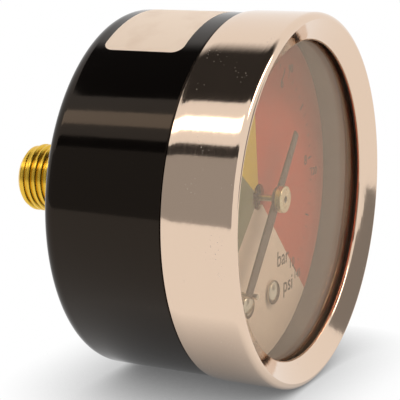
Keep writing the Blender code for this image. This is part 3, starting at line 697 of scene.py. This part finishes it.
sealForm = {
    "inset": 0.75 * mm,
    "clear": 0.03 * mm,
    "edgeDrop": 0.75 * mm,
    "crestDrop": 1.2 * mm,
    "lipDrop": 0.3 * mm,
    "steps": 192,
}
sealRadius = bezelForm["lipRadius"] + sealForm["inset"]
sealProfile = [
    (sealRadius, windowFace + sealForm["clear"]),
    (windowRadius, windowFace + sealForm["clear"]),
    (windowRadius, skirtFront - sealForm["edgeDrop"]),
    (rimCrest - sealForm["inset"], bezelFace - sealForm["crestDrop"]),
    (sealRadius, lipEdge - sealForm["lipDrop"]),
]
sealShape = turnedShape(sealProfile, sealForm["steps"])
finishPiece("windowSeal", sealShape, rubber, "housing", "black_rubber")

# Pointer hub: a turned brass button with broken edges, bored for the arbor

hubForm = {"bore": 0.66 * mm, "faceRound": 0.25 * mm, "edgeRound": 0.1 * mm, "arcSteps": 6, "steps": 64}
hubBack, hubFace = span("pointer_hub")
hubRadius = radiusOf("pointer_hub")
hubProfile = softened([
    (hubForm["bore"], hubFace, hubForm["edgeRound"]),
    (hubRadius, hubFace, hubForm["faceRound"]),
    (hubRadius, hubBack, hubForm["edgeRound"]),
    (hubForm["bore"], hubBack, hubForm["edgeRound"]),
], hubForm["arcSteps"])
hubShape = turnedShape(hubProfile, hubForm["steps"])
finishPiece("hubButton", hubShape, metals["paleBrass"], "pointer_arbor", "brass", "pointer_hub")

# Arbor end: the arbor's tip in the pointer's black paint, a painted shade for the dark bore in the hub

arborForm = {
    "radius": 0.62 * mm,
    "crownRadius": 0.434 * mm,
    "crown": 0.05 * mm,
    "shoulder": 0.04 * mm,
    "sunk": 0.18 * mm,
    "steps": 64,
}
arborProfile = [
    (0.0, hubFace + arborForm["crown"]),
    (arborForm["crownRadius"], hubFace + arborForm["shoulder"]),
    (arborForm["radius"], hubFace - arborForm["shoulder"]),
    (arborForm["radius"], hubFace - arborForm["sunk"]),
    (0.0, hubFace - arborForm["sunk"]),
]
arborShape = turnedShape(arborProfile, arborForm["steps"])
# The black paint stands in for the bore's shade
finishPiece("arborEnd", arborShape, paints["pointerPaint"], "pointer_arbor", "pointer_black")
print("turned pieces made")


def meshShape(mesh):
    # A bmesh of a finished mesh, which is then removed
    shape = bmesh.new()
    shape.from_mesh(mesh)
    bpy.data.meshes.remove(mesh)
    return shape


def nodeShape(node):
    # A bmesh of a CAD node as it is drawn, before it is stood up
    shape = bmesh.new()
    shape.from_mesh(nodes[node].data)
    bmesh.ops.remove_doubles(shape, verts=shape.verts, dist=0.002 * mm)
    shape.transform(standing.inverted())
    return shape


def holder(name, points=(), faces=()):
    # A bare object for modifiers to work on
    mesh = bpy.data.meshes.new(name)
    mesh.from_pydata(points, [], faces)
    obj = bpy.data.objects.new(name, mesh)
    scene.collection.objects.link(obj)
    return obj


def startTree(name, sockets):
    # A Geometry Nodes tree with named inputs, each one (name, socket kind)
    tree = bpy.data.node_groups.new(name, "GeometryNodeTree")
    for label, kind in [("Geometry", "NodeSocketGeometry"), *sockets]:
        tree.interface.new_socket(label, in_out="INPUT", socket_type=kind)
    tree.interface.new_socket("Geometry", in_out="OUTPUT", socket_type="NodeSocketGeometry")
    return tree, add(tree, "NodeGroupInput").outputs


def endTree(tree, geometry, material):
    whole = add(tree, "GeometryNodeRealizeInstances", {"Geometry": geometry})
    coated = add(tree, "GeometryNodeSetMaterial", {"Geometry": whole.outputs[0], "Material": material})
    add(tree, "NodeGroupOutput", {0: coated.outputs[0]})


def grown(tree, values, points=()):
    # The mesh that a tree makes on a holder, with its inputs set by identifier
    obj = holder(tree.name, points)
    step = obj.modifiers.new(tree.name, "NODES")
    step.node_group = tree
    for socket in tree.interface.items_tree:
        if socket.in_out == "INPUT" and socket.name in values:
            step[socket.identifier] = values[socket.name]
    return evaluated(obj)


# Pointer: a stamped blade with broken edges, turned as the CAD pointer stands

pointerForm = {
    "length": 19.6 * mm,
    "root": 2.8 * mm,
    "tip": 2.3 * mm,
    "tailRoot": 2.2 * mm,
    "tailEnd": 1.7 * mm,
    "eye": 2.2 * mm,
    "broken": 0.04 * mm,
    "brokenOver": 1.0,
    "tipBand": 0.05 * mm,
    "steps": 24,
}
pointerBack, pointerFace = span("pointer")
pointerPoints = [v.co.xz for v in nodes["pointer"].data.vertices]
farthest = max(pointerPoints, key=lambda p: p.length)
reach = [p for p in pointerPoints if p.length > farthest.length - pointerForm["tipBand"]]
bladeWay = sum(reach, Vector((0.0, 0.0))).normalized()
tailLength = -min(p.dot(bladeWay) for p in pointerPoints)
halfTip = pointerForm["tip"] / 2
halfTail = pointerForm["tailEnd"] / 2
outline = [(-halfTip, pointerForm["length"]), (halfTip, pointerForm["length"])]
bladeSide = math.asin(pointerForm["root"] / 2 / pointerForm["eye"])
tailSide = math.asin(pointerForm["tailRoot"] / 2 / pointerForm["eye"])
for step in range(pointerForm["steps"] + 1):
    a = bladeSide + (math.pi - bladeSide - tailSide) * step / pointerForm["steps"]
    outline.append((pointerForm["eye"] * math.sin(a), pointerForm["eye"] * math.cos(a)))
outline += [(halfTail, -tailLength), (-halfTail, -tailLength)]
outline += [(-x, y) for x, y in reversed(outline[2:-2])]
blade = bmesh.new()
loop = [blade.verts.new((x, y, pointerBack)) for x, y in outline]
sheet = blade.faces.new(loop)
raised = bmesh.ops.extrude_face_region(blade, geom=[sheet])
bmesh.ops.translate(
    blade, verts=[v for v in raised["geom"] if isinstance(v, bmesh.types.BMVert)],
    vec=(0.0, 0.0, pointerFace - pointerBack),
)
bmesh.ops.recalc_face_normals(blade, faces=blade.faces)
bmesh.ops.bevel(
    blade, geom=[e for e in blade.edges if e.calc_face_angle(0.0) > pointerForm["brokenOver"]],
    offset=pointerForm["broken"], segments=2, affect="EDGES",
)
blade.transform(Matrix.Rotation(math.atan2(-bladeWay.x, bladeWay.y), 4, "Z"))
finishPiece("pointerBlade", blade, paints["pointerPaint"], "pointer_arbor", "pointer_black", "pointer")
print("pointer cut")

# Socket: the CAD body with its stub cut off, and a stub with the real pipe thread in its place

threadForm = {
    "crestRadius": 6.58 * mm,
    "rootRadius": 6.12 * mm,
    "pitch": 1.337 * mm,
    "rootWidth": 1.75 * mm,
    "crestWidth": 0.45 * mm,
    "crestRound": 0.2 * mm,
    "sunk": 0.3 * mm,
    "start": 0.85 * mm,
    "turns": 8.6,
    "runOut": 0.6,
    "endChamfer": 0.7 * mm,
    "boreChamfer": 0.35 * mm,
    "cut": 13.9 * mm,
    "groove": 5.6 * mm,
    "grooveRun": 0.4 * mm,
    "bore": 2.5 * mm,
    "boreDepth": 13.0 * mm,
    "steps": 96,
}
tree, given = startTree("pipeThread", [
    ("Turns", "NodeSocketFloat"),
    ("Radius", "NodeSocketFloat"),
    ("Length", "NodeSocketFloat"),
    ("Depth", "NodeSocketFloat"),
    ("Root Width", "NodeSocketFloat"),
    ("Crest Width", "NodeSocketFloat"),
    ("Material", "NodeSocketMaterial"),
])
helix = add(tree, "GeometryNodeCurveSpiral", {
    "Resolution": threadForm["steps"],
    "Rotations": given["Turns"],
    "Start Radius": given["Radius"],
    "End Radius": given["Radius"],
    "Height": given["Length"],
    "Reverse": True,
})
level = add(tree, "GeometryNodeSetCurveNormal", {"Curve": helix.outputs[0]}, mode="Z_UP")
flank = add(tree, "GeometryNodeCurvePrimitiveQuadrilateral", {
    "Height": given["Depth"],
    "Bottom Width": given["Root Width"],
    "Top Width": given["Crest Width"],
    "Offset": 0.0,
}, mode="TRAPEZOID")
rounded = add(tree, "GeometryNodeFilletCurve", {
    "Curve": flank.outputs[0],
    "Radius": threadForm["crestRound"],
    "Limit Radius": True,
    "Count": 3,
}, mode="POLY")
halfDepth = add(tree, "ShaderNodeMath", {0: given["Depth"], 1: 0.5}, operation="MULTIPLY")
outward = add(tree, "ShaderNodeCombineXYZ", {"X": halfDepth.outputs[0]})
raised = add(tree, "GeometryNodeTransform", {
    "Geometry": rounded.outputs[0],
    "Translation": outward.outputs[0],
    "Rotation": (0.0, 0.0, -math.pi / 2),
})
along = add(tree, "GeometryNodeSplineParameter")
fromEnd = add(tree, "ShaderNodeMath", {0: 1.0, 1: along.outputs["Factor"]}, operation="SUBTRACT")
nearest = add(tree, "ShaderNodeMath", {
    0: along.outputs["Factor"],
    1: fromEnd.outputs[0],
}, operation="MINIMUM")
fade = add(tree, "ShaderNodeMapRange", {
    "Value": nearest.outputs[0],
    "From Max": threadForm["runOut"] / threadForm["turns"],
    "To Min": 0.02,
})
ridge = add(tree, "GeometryNodeCurveToMesh", {
    "Curve": level.outputs[0],
    "Profile Curve": raised.outputs[0],
    "Scale": fade.outputs["Result"],
    "Fill Caps": True,
})
endTree(tree, ridge.outputs[0], given["Material"])
ridgeMesh = grown(tree, {
    "Turns": threadForm["turns"],
    "Radius": threadForm["rootRadius"] - threadForm["sunk"],
    "Length": threadForm["turns"] * threadForm["pitch"],
    "Depth": threadForm["crestRadius"] - threadForm["rootRadius"] + threadForm["sunk"],
    "Root Width": threadForm["rootWidth"],
    "Crest Width": threadForm["crestWidth"],
    "Material": metals["machinedBrass"],
})
ridgeMesh.transform(Matrix.Translation((0.0, 0.0, threadForm["start"])))
stubProfile = [
    (0.0, threadForm["boreDepth"]),
    (threadForm["bore"], threadForm["boreDepth"]),
    (threadForm["bore"], threadForm["boreChamfer"]),
    (threadForm["bore"] + threadForm["boreChamfer"], 0.0),
    (threadForm["rootRadius"] - threadForm["endChamfer"], 0.0),
    (threadForm["rootRadius"], threadForm["endChamfer"]),
    (threadForm["rootRadius"], threadForm["start"] + threadForm["turns"] * threadForm["pitch"]),
    (threadForm["groove"], threadForm["cut"] - threadForm["grooveRun"]),
    (threadForm["groove"], threadForm["cut"]),
    (0.0, threadForm["cut"]),
]
socketShape = turnedShape(stubProfile, threadForm["steps"])
socketShape.from_mesh(ridgeMesh)
body = nodeShape("socket")
bmesh.ops.bisect_plane(
    body, geom=body.verts[:] + body.edges[:] + body.faces[:],
    plane_co=(0.0, 0.0, threadForm["cut"]), plane_no=(0.0, 0.0, -1.0), clear_outer=True,
)
bmesh.ops.holes_fill(body, edges=[e for e in body.edges if e.is_boundary])
bodyMesh = bpy.data.meshes.new("socketBody")
body.to_mesh(bodyMesh)
body.free()
socketShape.from_mesh(bodyMesh)
finishPiece("threadedSocket", socketShape, metals["machinedBrass"], "housing", "brass", "socket")

# Tube: the CAD spring tube, baked where it stands; the quarter next to the tip that tubeForm sets out is
# not bent

tubeForm = {
    "body": "tube_end",
    "start": Vector((0.0, 0.0, 0.0)),
    "end": Vector((20.5, 0.0, 0.0)) * mm,
}
tubeShape = nodeShape("bourdon_tube")
finishPiece(
    "springTube", tubeShape, metals["springBronze"], "housing", "tube_bronze", "bourdon_tube", bend=tubeForm
)

# Screws: one slotted dome-head screw of each kind, set at its places by a node tree

tree, given = startTree("screwsAtPlaces", [
    ("Screw", "NodeSocketObject"),
    ("First Turn", "NodeSocketFloat"),
    ("Turn Step", "NodeSocketFloat"),
    ("Material", "NodeSocketMaterial"),
])
model = add(tree, "GeometryNodeObjectInfo", {"Object": given["Screw"]})
number = add(tree, "GeometryNodeInputIndex")
slotTurn = add(tree, "ShaderNodeMath", {
    0: number.outputs[0],
    1: given["Turn Step"],
    2: given["First Turn"],
}, operation="MULTIPLY_ADD")
slotAngle = add(tree, "ShaderNodeCombineXYZ", {"Z": slotTurn.outputs[0]})
placed = add(tree, "GeometryNodeInstanceOnPoints", {
    "Points": given["Geometry"],
    "Instance": model.outputs["Geometry"],
    "Rotation": slotAngle.outputs[0],
})
endTree(tree, placed.outputs[0], given["Material"])
screwTree = tree

screwKinds = {
    "dialScrews": {
        "nodes": ["dial_screw_left", "dial_screw_right"],
        "facing": 1,
        "headHeight": 1.2 * mm,
        "side": 0.3 * mm,
        "shank": 0.9 * mm,
        "slotWidth": 0.7 * mm,
        "slotDepth": 0.5 * mm,
        "edge": 0.08 * mm,
        "firstTurn": 0.5,
        "turnStep": 0.9,
    },
    "caseScrews": {
        "nodes": ["case_screw_1", "case_screw_2", "case_screw_3"],
        "facing": -1,
        "headHeight": 1.6 * mm,
        "side": 0.5 * mm,
        "shank": 1.25 * mm,
        "slotWidth": 0.7 * mm,
        "slotDepth": 0.75 * mm,
        "edge": 0.08 * mm,
        "firstTurn": 0.4,
        "turnStep": 1.3,
    },
}
screwSteps = {"round": 48, "dome": 10}
for name, kind in screwKinds.items():
    low, top = span(kind["nodes"][0])
    headRadius = radiusOf(kind["nodes"][0])
    length = top - low - kind["headHeight"]
    crown = kind["headHeight"] - kind["side"]
    dome = [
        (headRadius * math.sin(a), kind["side"] + crown * math.cos(a))
        for a in [math.pi / 2 * i / screwSteps["dome"] for i in range(screwSteps["dome"] + 1)]
    ]
    dome[0] = (0.0, kind["headHeight"])
    outline = dome + [
        (headRadius, kind["edge"]),
        (headRadius - kind["edge"], 0.0),
        (kind["shank"], 0.0),
        (kind["shank"], -length),
        (0.0, -length),
    ]
    blank = holder(name + "Blank")
    turnedShape(outline, screwSteps["round"]).to_mesh(blank.data)
    slot = holder(name + "Slot")
    box = bmesh.new()
    bmesh.ops.create_cube(box, size=1.0)
    slotSize = (headRadius * 3, kind["slotWidth"], kind["slotDepth"] * 2)
    bmesh.ops.scale(box, verts=box.verts, vec=slotSize)
    bmesh.ops.translate(box, verts=box.verts, vec=(0.0, 0.0, kind["headHeight"]))
    box.to_mesh(slot.data)
    box.free()
    step = blank.modifiers.new("slot", "BOOLEAN")
    step.operation = "DIFFERENCE"
    step.object = slot
    pattern = holder(name + "Pattern")
    screwMesh = evaluated(blank)
    bpy.data.objects.remove(slot, do_unlink=True)
    if kind["facing"] < 0:
        screwMesh.transform(Matrix.Rotation(math.pi, 4, "X"))
    pattern.data = screwMesh
    seat = top - kind["headHeight"] if kind["facing"] > 0 else low + kind["headHeight"]
    screws = grown(screwTree, {
        "Screw": pattern,
        "First Turn": kind["firstTurn"],
        "Turn Step": kind["turnStep"],
        "Material": metals["brightSteel"],
    }, [(*centreOf(node), seat) for node in kind["nodes"]])
    bpy.data.objects.remove(pattern, do_unlink=True)
    finishPiece(name, meshShape(screws), metals["brightSteel"], "housing", "bright_steel", *kind["nodes"])
print("socket and screws made")

# Dial print: ticks round the rim, figures of two scales and their units

dialPrint = {
    "lift": 0.02 * mm,
    "thickness": 0.02 * mm,
    "bold": 0.04 * mm,
    "scaleStart": 225.0,
    "scaleSweep": 270.0,
    "tickRim": 25.3 * mm,
    "majorTicks": {"count": 11, "length": 1.7 * mm, "width": 0.32 * mm},
    "minorTicks": {"count": 51, "length": 0.9 * mm, "width": 0.18 * mm},
    "inner": {"figures": range(0, 11, 2), "full": 10.0, "radius": 22.4 * mm, "size": 2.7 * mm},
    "outer": {"figures": (0, 30, 60, 90, 120, 145), "full": 145.0, "radius": 26.4 * mm, "size": 2.2 * mm},
    "units": [("bar", 18.0 * mm, 140.5, 4.3 * mm), ("psi", 24.2 * mm, 144.4, 4.3 * mm)],
}
printHeight = span("dial")[1] + dialPrint["lift"]
tree, given = startTree("scaleTicks", [
    ("Count", "NodeSocketInt"),
    ("Rim", "NodeSocketFloat"),
    ("Length", "NodeSocketFloat"),
    ("Width", "NodeSocketFloat"),
    ("Thickness", "NodeSocketFloat"),
    ("Height", "NodeSocketFloat"),
    ("Start", "NodeSocketFloat"),
    ("Sweep", "NodeSocketFloat"),
    ("Material", "NodeSocketMaterial"),
])
points = add(tree, "GeometryNodePoints", {"Count": given["Count"]})
number = add(tree, "GeometryNodeInputIndex")
gaps = add(tree, "ShaderNodeMath", {0: given["Count"], 1: 1.0}, operation="SUBTRACT")
share = add(tree, "ShaderNodeMath", {0: number.outputs[0], 1: gaps.outputs[0]}, operation="DIVIDE")
clock = add(tree, "ShaderNodeMath", {
    0: share.outputs[0],
    1: given["Sweep"],
    2: given["Start"],
}, operation="MULTIPLY_ADD")
halfTick = add(tree, "ShaderNodeMath", {0: given["Length"], 1: 0.5}, operation="MULTIPLY")
middle = add(tree, "ShaderNodeMath", {0: given["Rim"], 1: halfTick.outputs[0]}, operation="SUBTRACT")
sine = add(tree, "ShaderNodeMath", {0: clock.outputs[0]}, operation="SINE")
cosine = add(tree, "ShaderNodeMath", {0: clock.outputs[0]}, operation="COSINE")
across = add(tree, "ShaderNodeMath", {0: sine.outputs[0], 1: middle.outputs[0]}, operation="MULTIPLY")
upward = add(tree, "ShaderNodeMath", {0: cosine.outputs[0], 1: middle.outputs[0]}, operation="MULTIPLY")
spot = add(tree, "ShaderNodeCombineXYZ", {
    "X": across.outputs[0],
    "Y": upward.outputs[0],
    "Z": given["Height"],
})
ring = add(tree, "GeometryNodeSetPosition", {"Geometry": points.outputs[0], "Position": spot.outputs[0]})
tickSize = add(tree, "ShaderNodeCombineXYZ", {
    "X": given["Width"],
    "Y": given["Length"],
    "Z": given["Thickness"],
})
tick = add(tree, "GeometryNodeMeshCube", {"Size": tickSize.outputs[0]})
back = add(tree, "ShaderNodeMath", {0: clock.outputs[0], 1: -1.0}, operation="MULTIPLY")
lean = add(tree, "ShaderNodeCombineXYZ", {"Z": back.outputs[0]})
ticks = add(tree, "GeometryNodeInstanceOnPoints", {
    "Points": ring.outputs[0],
    "Instance": tick.outputs[0],
    "Rotation": lean.outputs[0],
})
endTree(tree, ticks.outputs[0], given["Material"])
printShape = bmesh.new()
for kind in ("majorTicks", "minorTicks"):
    size = dialPrint[kind]
    ticksMesh = grown(tree, {
        "Count": size["count"],
        "Rim": dialPrint["tickRim"],
        "Length": size["length"],
        "Width": size["width"],
        "Thickness": dialPrint["thickness"],
        "Height": printHeight,
        "Start": math.radians(dialPrint["scaleStart"]),
        "Sweep": math.radians(dialPrint["scaleSweep"]),
        "Material": paints["dialInk"],
    })
    printShape.from_mesh(ticksMesh)
lettering = []
for scale in (dialPrint["inner"], dialPrint["outer"]):
    for figure in scale["figures"]:
        clock = dialPrint["scaleStart"] + dialPrint["scaleSweep"] * figure / scale["full"]
        lettering.append((str(figure), scale["radius"], clock, scale["size"]))
lettering += dialPrint["units"]
for text, radius, clock, size in lettering:
    curve = bpy.data.curves.new(text, "FONT")
    curve.body = text
    curve.size = size
    curve.align_x = "CENTER"
    curve.align_y = "CENTER"
    curve.extrude = dialPrint["thickness"] / 2
    curve.offset = dialPrint["bold"]
    curve.resolution_u = 4
    word = bpy.data.objects.new(text, curve)
    scene.collection.objects.link(word)
    wordMesh = evaluated(word)
    angle = math.radians(clock)
    spot = (radius * math.sin(angle), radius * math.cos(angle), printHeight)
    wordMesh.transform(Matrix.Translation(spot))
    printShape.from_mesh(wordMesh)
finishPiece("dialFigures", printShape, paints["dialInk"], "housing", "pointer_black")
print("dial printed")

# Label: a blank paper sticker with round corners, wrapped over the top of the case

labelForm = {
    "from": 55.5,
    "to": 122.0,
    "back": 27.4 * mm,
    "front": 42.9 * mm,
    "corner": 2.0 * mm,
    "lift": 0.02 * mm,
    "thickness": 0.09 * mm,
    "columns": 60,
    "rows": 40,
}
labelRadius = caseRadius + labelForm["lift"]
arcLength = math.radians(labelForm["to"] - labelForm["from"]) * labelRadius
corner = labelForm["corner"]
sheet = []
for row in range(labelForm["rows"] + 1):
    # Rows crowd towards the two ends, where the corners are
    t = (1 - math.cos(math.pi * row / labelForm["rows"])) / 2
    height = labelForm["back"] + (labelForm["front"] - labelForm["back"]) * t
    fromEnd = min(height - labelForm["back"], labelForm["front"] - height)
    inset = corner - math.sqrt(max(0.0, corner ** 2 - max(0.0, corner - fromEnd) ** 2))
    for column in range(labelForm["columns"] + 1):
        arc = inset + (arcLength - 2 * inset) * column / labelForm["columns"]
        angle = math.radians(180.0 - labelForm["from"]) - arc / labelRadius
        sheet.append((labelRadius * math.cos(angle), labelRadius * math.sin(angle), height))
wide = labelForm["columns"] + 1
faces = [
    (i + j * wide, i + 1 + j * wide, i + 1 + (j + 1) * wide, i + (j + 1) * wide)
    for j in range(labelForm["rows"]) for i in range(labelForm["columns"])
]
label = holder("blankLabel", sheet, faces)
step = label.modifiers.new("thickness", "SOLIDIFY")
step.thickness = labelForm["thickness"]
step.offset = 1.0
labelShape = meshShape(evaluated(label))
bmesh.ops.recalc_face_normals(labelShape, faces=labelShape.faces)
finishPiece("blankLabel", labelShape, paper, "housing", "dial_enamel")
print("label laid")

# Finishes of the CAD pieces that keep their shape
slotFinish = {
    "black_rubber": rubber,
    "dial_enamel": dialEnamel,
    "pointer_black": paints["pointerPaint"],
    "brass": metals["machinedBrass"],
    "tube_bronze": metals["springBronze"],
    "bright_steel": metals["brightSteel"],
    "chromed_steel": chrome,
    "black_enamel": enamel,
    "window_glass": glass,
}
for part in frame["record"]["subparts"]:
    node = nodes[part["node"]]
    node.data.materials.clear()
    node.data.materials.append(slotFinish[part["material_slot"]])

# Studio: one white background for the eye, the mirrors and the glass, with two soft lamps

studio = {
    "floorSize": 3.0,
    "background": "#ffffff",
    "shadow": "#5c5c5c",
    "shadowReach": 18 * mm,
    "bounce": "#e6dacd",
    "ambient": "#f4e8dc",
    "ambientLevel": (0.35, 1.1),
}


def backgroundRay(tree):
    # 1 for the rays of the camera, of mirrors and of glass, which all see the same background
    rays = add(tree, "ShaderNodeLightPath")
    mirrored = add(tree, "ShaderNodeMath", {
        0: rays.outputs["Is Glossy Ray"],
        1: rays.outputs["Is Transmission Ray"],
    }, operation="MAXIMUM")
    return add(tree, "ShaderNodeMath", {
        0: rays.outputs["Is Camera Ray"],
        1: mirrored.outputs[0],
    }, operation="MAXIMUM").outputs[0]


world = bpy.data.worlds.new("studio")
scene.world = world
world.use_nodes = True
tree = world.node_tree
tree.nodes.clear()
direction = add(tree, "ShaderNodeTexCoord").outputs["Generated"]
axes = add(tree, "ShaderNodeSeparateXYZ", {0: direction})
overhead = add(tree, "ShaderNodeMapRange", {
    "Value": axes.outputs["Z"],
    "From Min": 0.0,
    "From Max": 1.0,
    "To Min": studio["ambientLevel"][0],
    "To Max": studio["ambientLevel"][1],
})
soft = add(tree, "ShaderNodeBackground", {0: linear(studio["ambient"]), 1: overhead.outputs["Result"]})
white = add(tree, "ShaderNodeBackground", {0: linear(studio["background"]), 1: 1.0})
seen = add(tree, "ShaderNodeMixShader", {0: backgroundRay(tree), 1: soft.outputs[0], 2: white.outputs[0]})
add(tree, "ShaderNodeOutputWorld", {"Surface": seen.outputs[0]})

# White floor that keeps the soft shadow of what stands close above it
floorMaterial = bpy.data.materials.new("paleFloor")
floorMaterial.use_nodes = True
tree = floorMaterial.node_tree
tree.nodes.clear()
hidden = add(tree, "ShaderNodeAmbientOcclusion", {"Distance": studio["shadowReach"]})
shadow = add(tree, "ShaderNodeMix", {
    "Factor": hidden.outputs["AO"],
    6: linear(studio["shadow"]),
    7: linear(studio["background"]),
}, data_type="RGBA")
glow = add(tree, "ShaderNodeEmission", {"Color": shadow.outputs[2], "Strength": 1.0})
bounce = add(tree, "ShaderNodeBsdfDiffuse", {"Color": linear(studio["bounce"])})
seen = add(tree, "ShaderNodeMixShader", {0: backgroundRay(tree), 1: bounce.outputs[0], 2: glow.outputs[0]})
add(tree, "ShaderNodeOutputMaterial", {"Surface": seen.outputs[0]})
half = studio["floorSize"] / 2
floorHeight = cadBox[0].z
floorMesh = bpy.data.meshes.new("floor")
corners = ((-half, -half), (half, -half), (half, half), (-half, half))
floorMesh.from_pydata([(x, y, floorHeight) for x, y in corners], [], [(0, 1, 2, 3)])
floorMesh.materials.append(floorMaterial)
floor = bpy.data.objects.new("floor", floorMesh)
scene.collection.objects.link(floor)

# Cards stand round the gauge, out of sight, for the plated ring to mirror
cards = {
    "overheadFlag": {"low": (-143, -240, 300), "high": (125, 175, 303), "tint": "#303030", "fade": 70},
    "sideCard": {"low": (-303, -220, -34), "high": (-300, 600, 183), "tint": "#a8a8a8"},
    "sideFlag": {"low": (-303, -220, 186), "high": (-300, 300, 240), "tint": "#383838"},
    "frontCard": {"low": (42, -213, -20), "high": (135, -210, 60), "tint": "#8c8c8c"},
}
for name, card in cards.items():
    low, high = Vector(card["low"]) * mm, Vector(card["high"]) * mm
    board = bmesh.new()
    bmesh.ops.create_cube(board, size=1.0)
    bmesh.ops.scale(board, verts=board.verts, vec=high - low)
    bmesh.ops.translate(board, verts=board.verts, vec=(low + high) / 2)
    paint = bpy.data.materials.new(name)
    paint.use_nodes = True
    tree = paint.node_tree
    tree.nodes.clear()
    even = add(tree, "ShaderNodeEmission", {"Color": linear(card["tint"]), "Strength": 1.0})
    if "fade" in card:
        place = add(tree, "ShaderNodeTexCoord").outputs["Object"]
        axes = add(tree, "ShaderNodeSeparateXYZ", {0: place})
        graded = add(tree, "ShaderNodeMapRange", {
            "Value": axes.outputs["X"],
            "From Min": high.x - card["fade"] * mm,
            "From Max": high.x,
        }, interpolation_type="SMOOTHSTEP")
        tone = add(tree, "ShaderNodeMix", {
            "Factor": graded.outputs["Result"],
            6: linear(card["tint"]),
            7: linear(studio["background"]),
        }, data_type="RGBA")
        tree.links.new(tone.outputs[2], even.inputs["Color"])
    add(tree, "ShaderNodeOutputMaterial", {"Surface": even.outputs[0]})
    boardMesh = bpy.data.meshes.new(name)
    board.to_mesh(boardMesh)
    board.free()
    boardMesh.materials.append(paint)
    obj = bpy.data.objects.new(name, boardMesh)
    obj.visible_camera = False
    obj.visible_shadow = False
    scene.collection.objects.link(obj)

lamps = {
    "keyLamp": {
        "place": (-0.02, -0.36, 0.38),
        "aim": cameraView["target"],
        "size": (0.34, 0.08),
        "energy": 0.8,
        "tint": "#fff0de",
    },
    "stripLamp": {
        "place": (-0.211, 0.1, 0.256),
        "aim": Vector((0.0, 0.1, 0.0)),
        "size": (0.3, 0.05),
        "energy": 0.12,
        "tint": "#fff0de",
    },
}
for name, look in lamps.items():
    lamp = bpy.data.lights.new(name, "AREA")
    lamp.shape = "RECTANGLE"
    lamp.size, lamp.size_y = look["size"]
    lamp.energy = look["energy"]
    lamp.color = linear(look["tint"])[:3]
    obj = bpy.data.objects.new(name, lamp)
    obj.location = look["place"]
    obj.rotation_euler = (look["aim"] - Vector(look["place"])).to_track_quat("-Z", "Y").to_euler()
    obj.visible_camera = False
    scene.collection.objects.link(obj)
print("studio set")
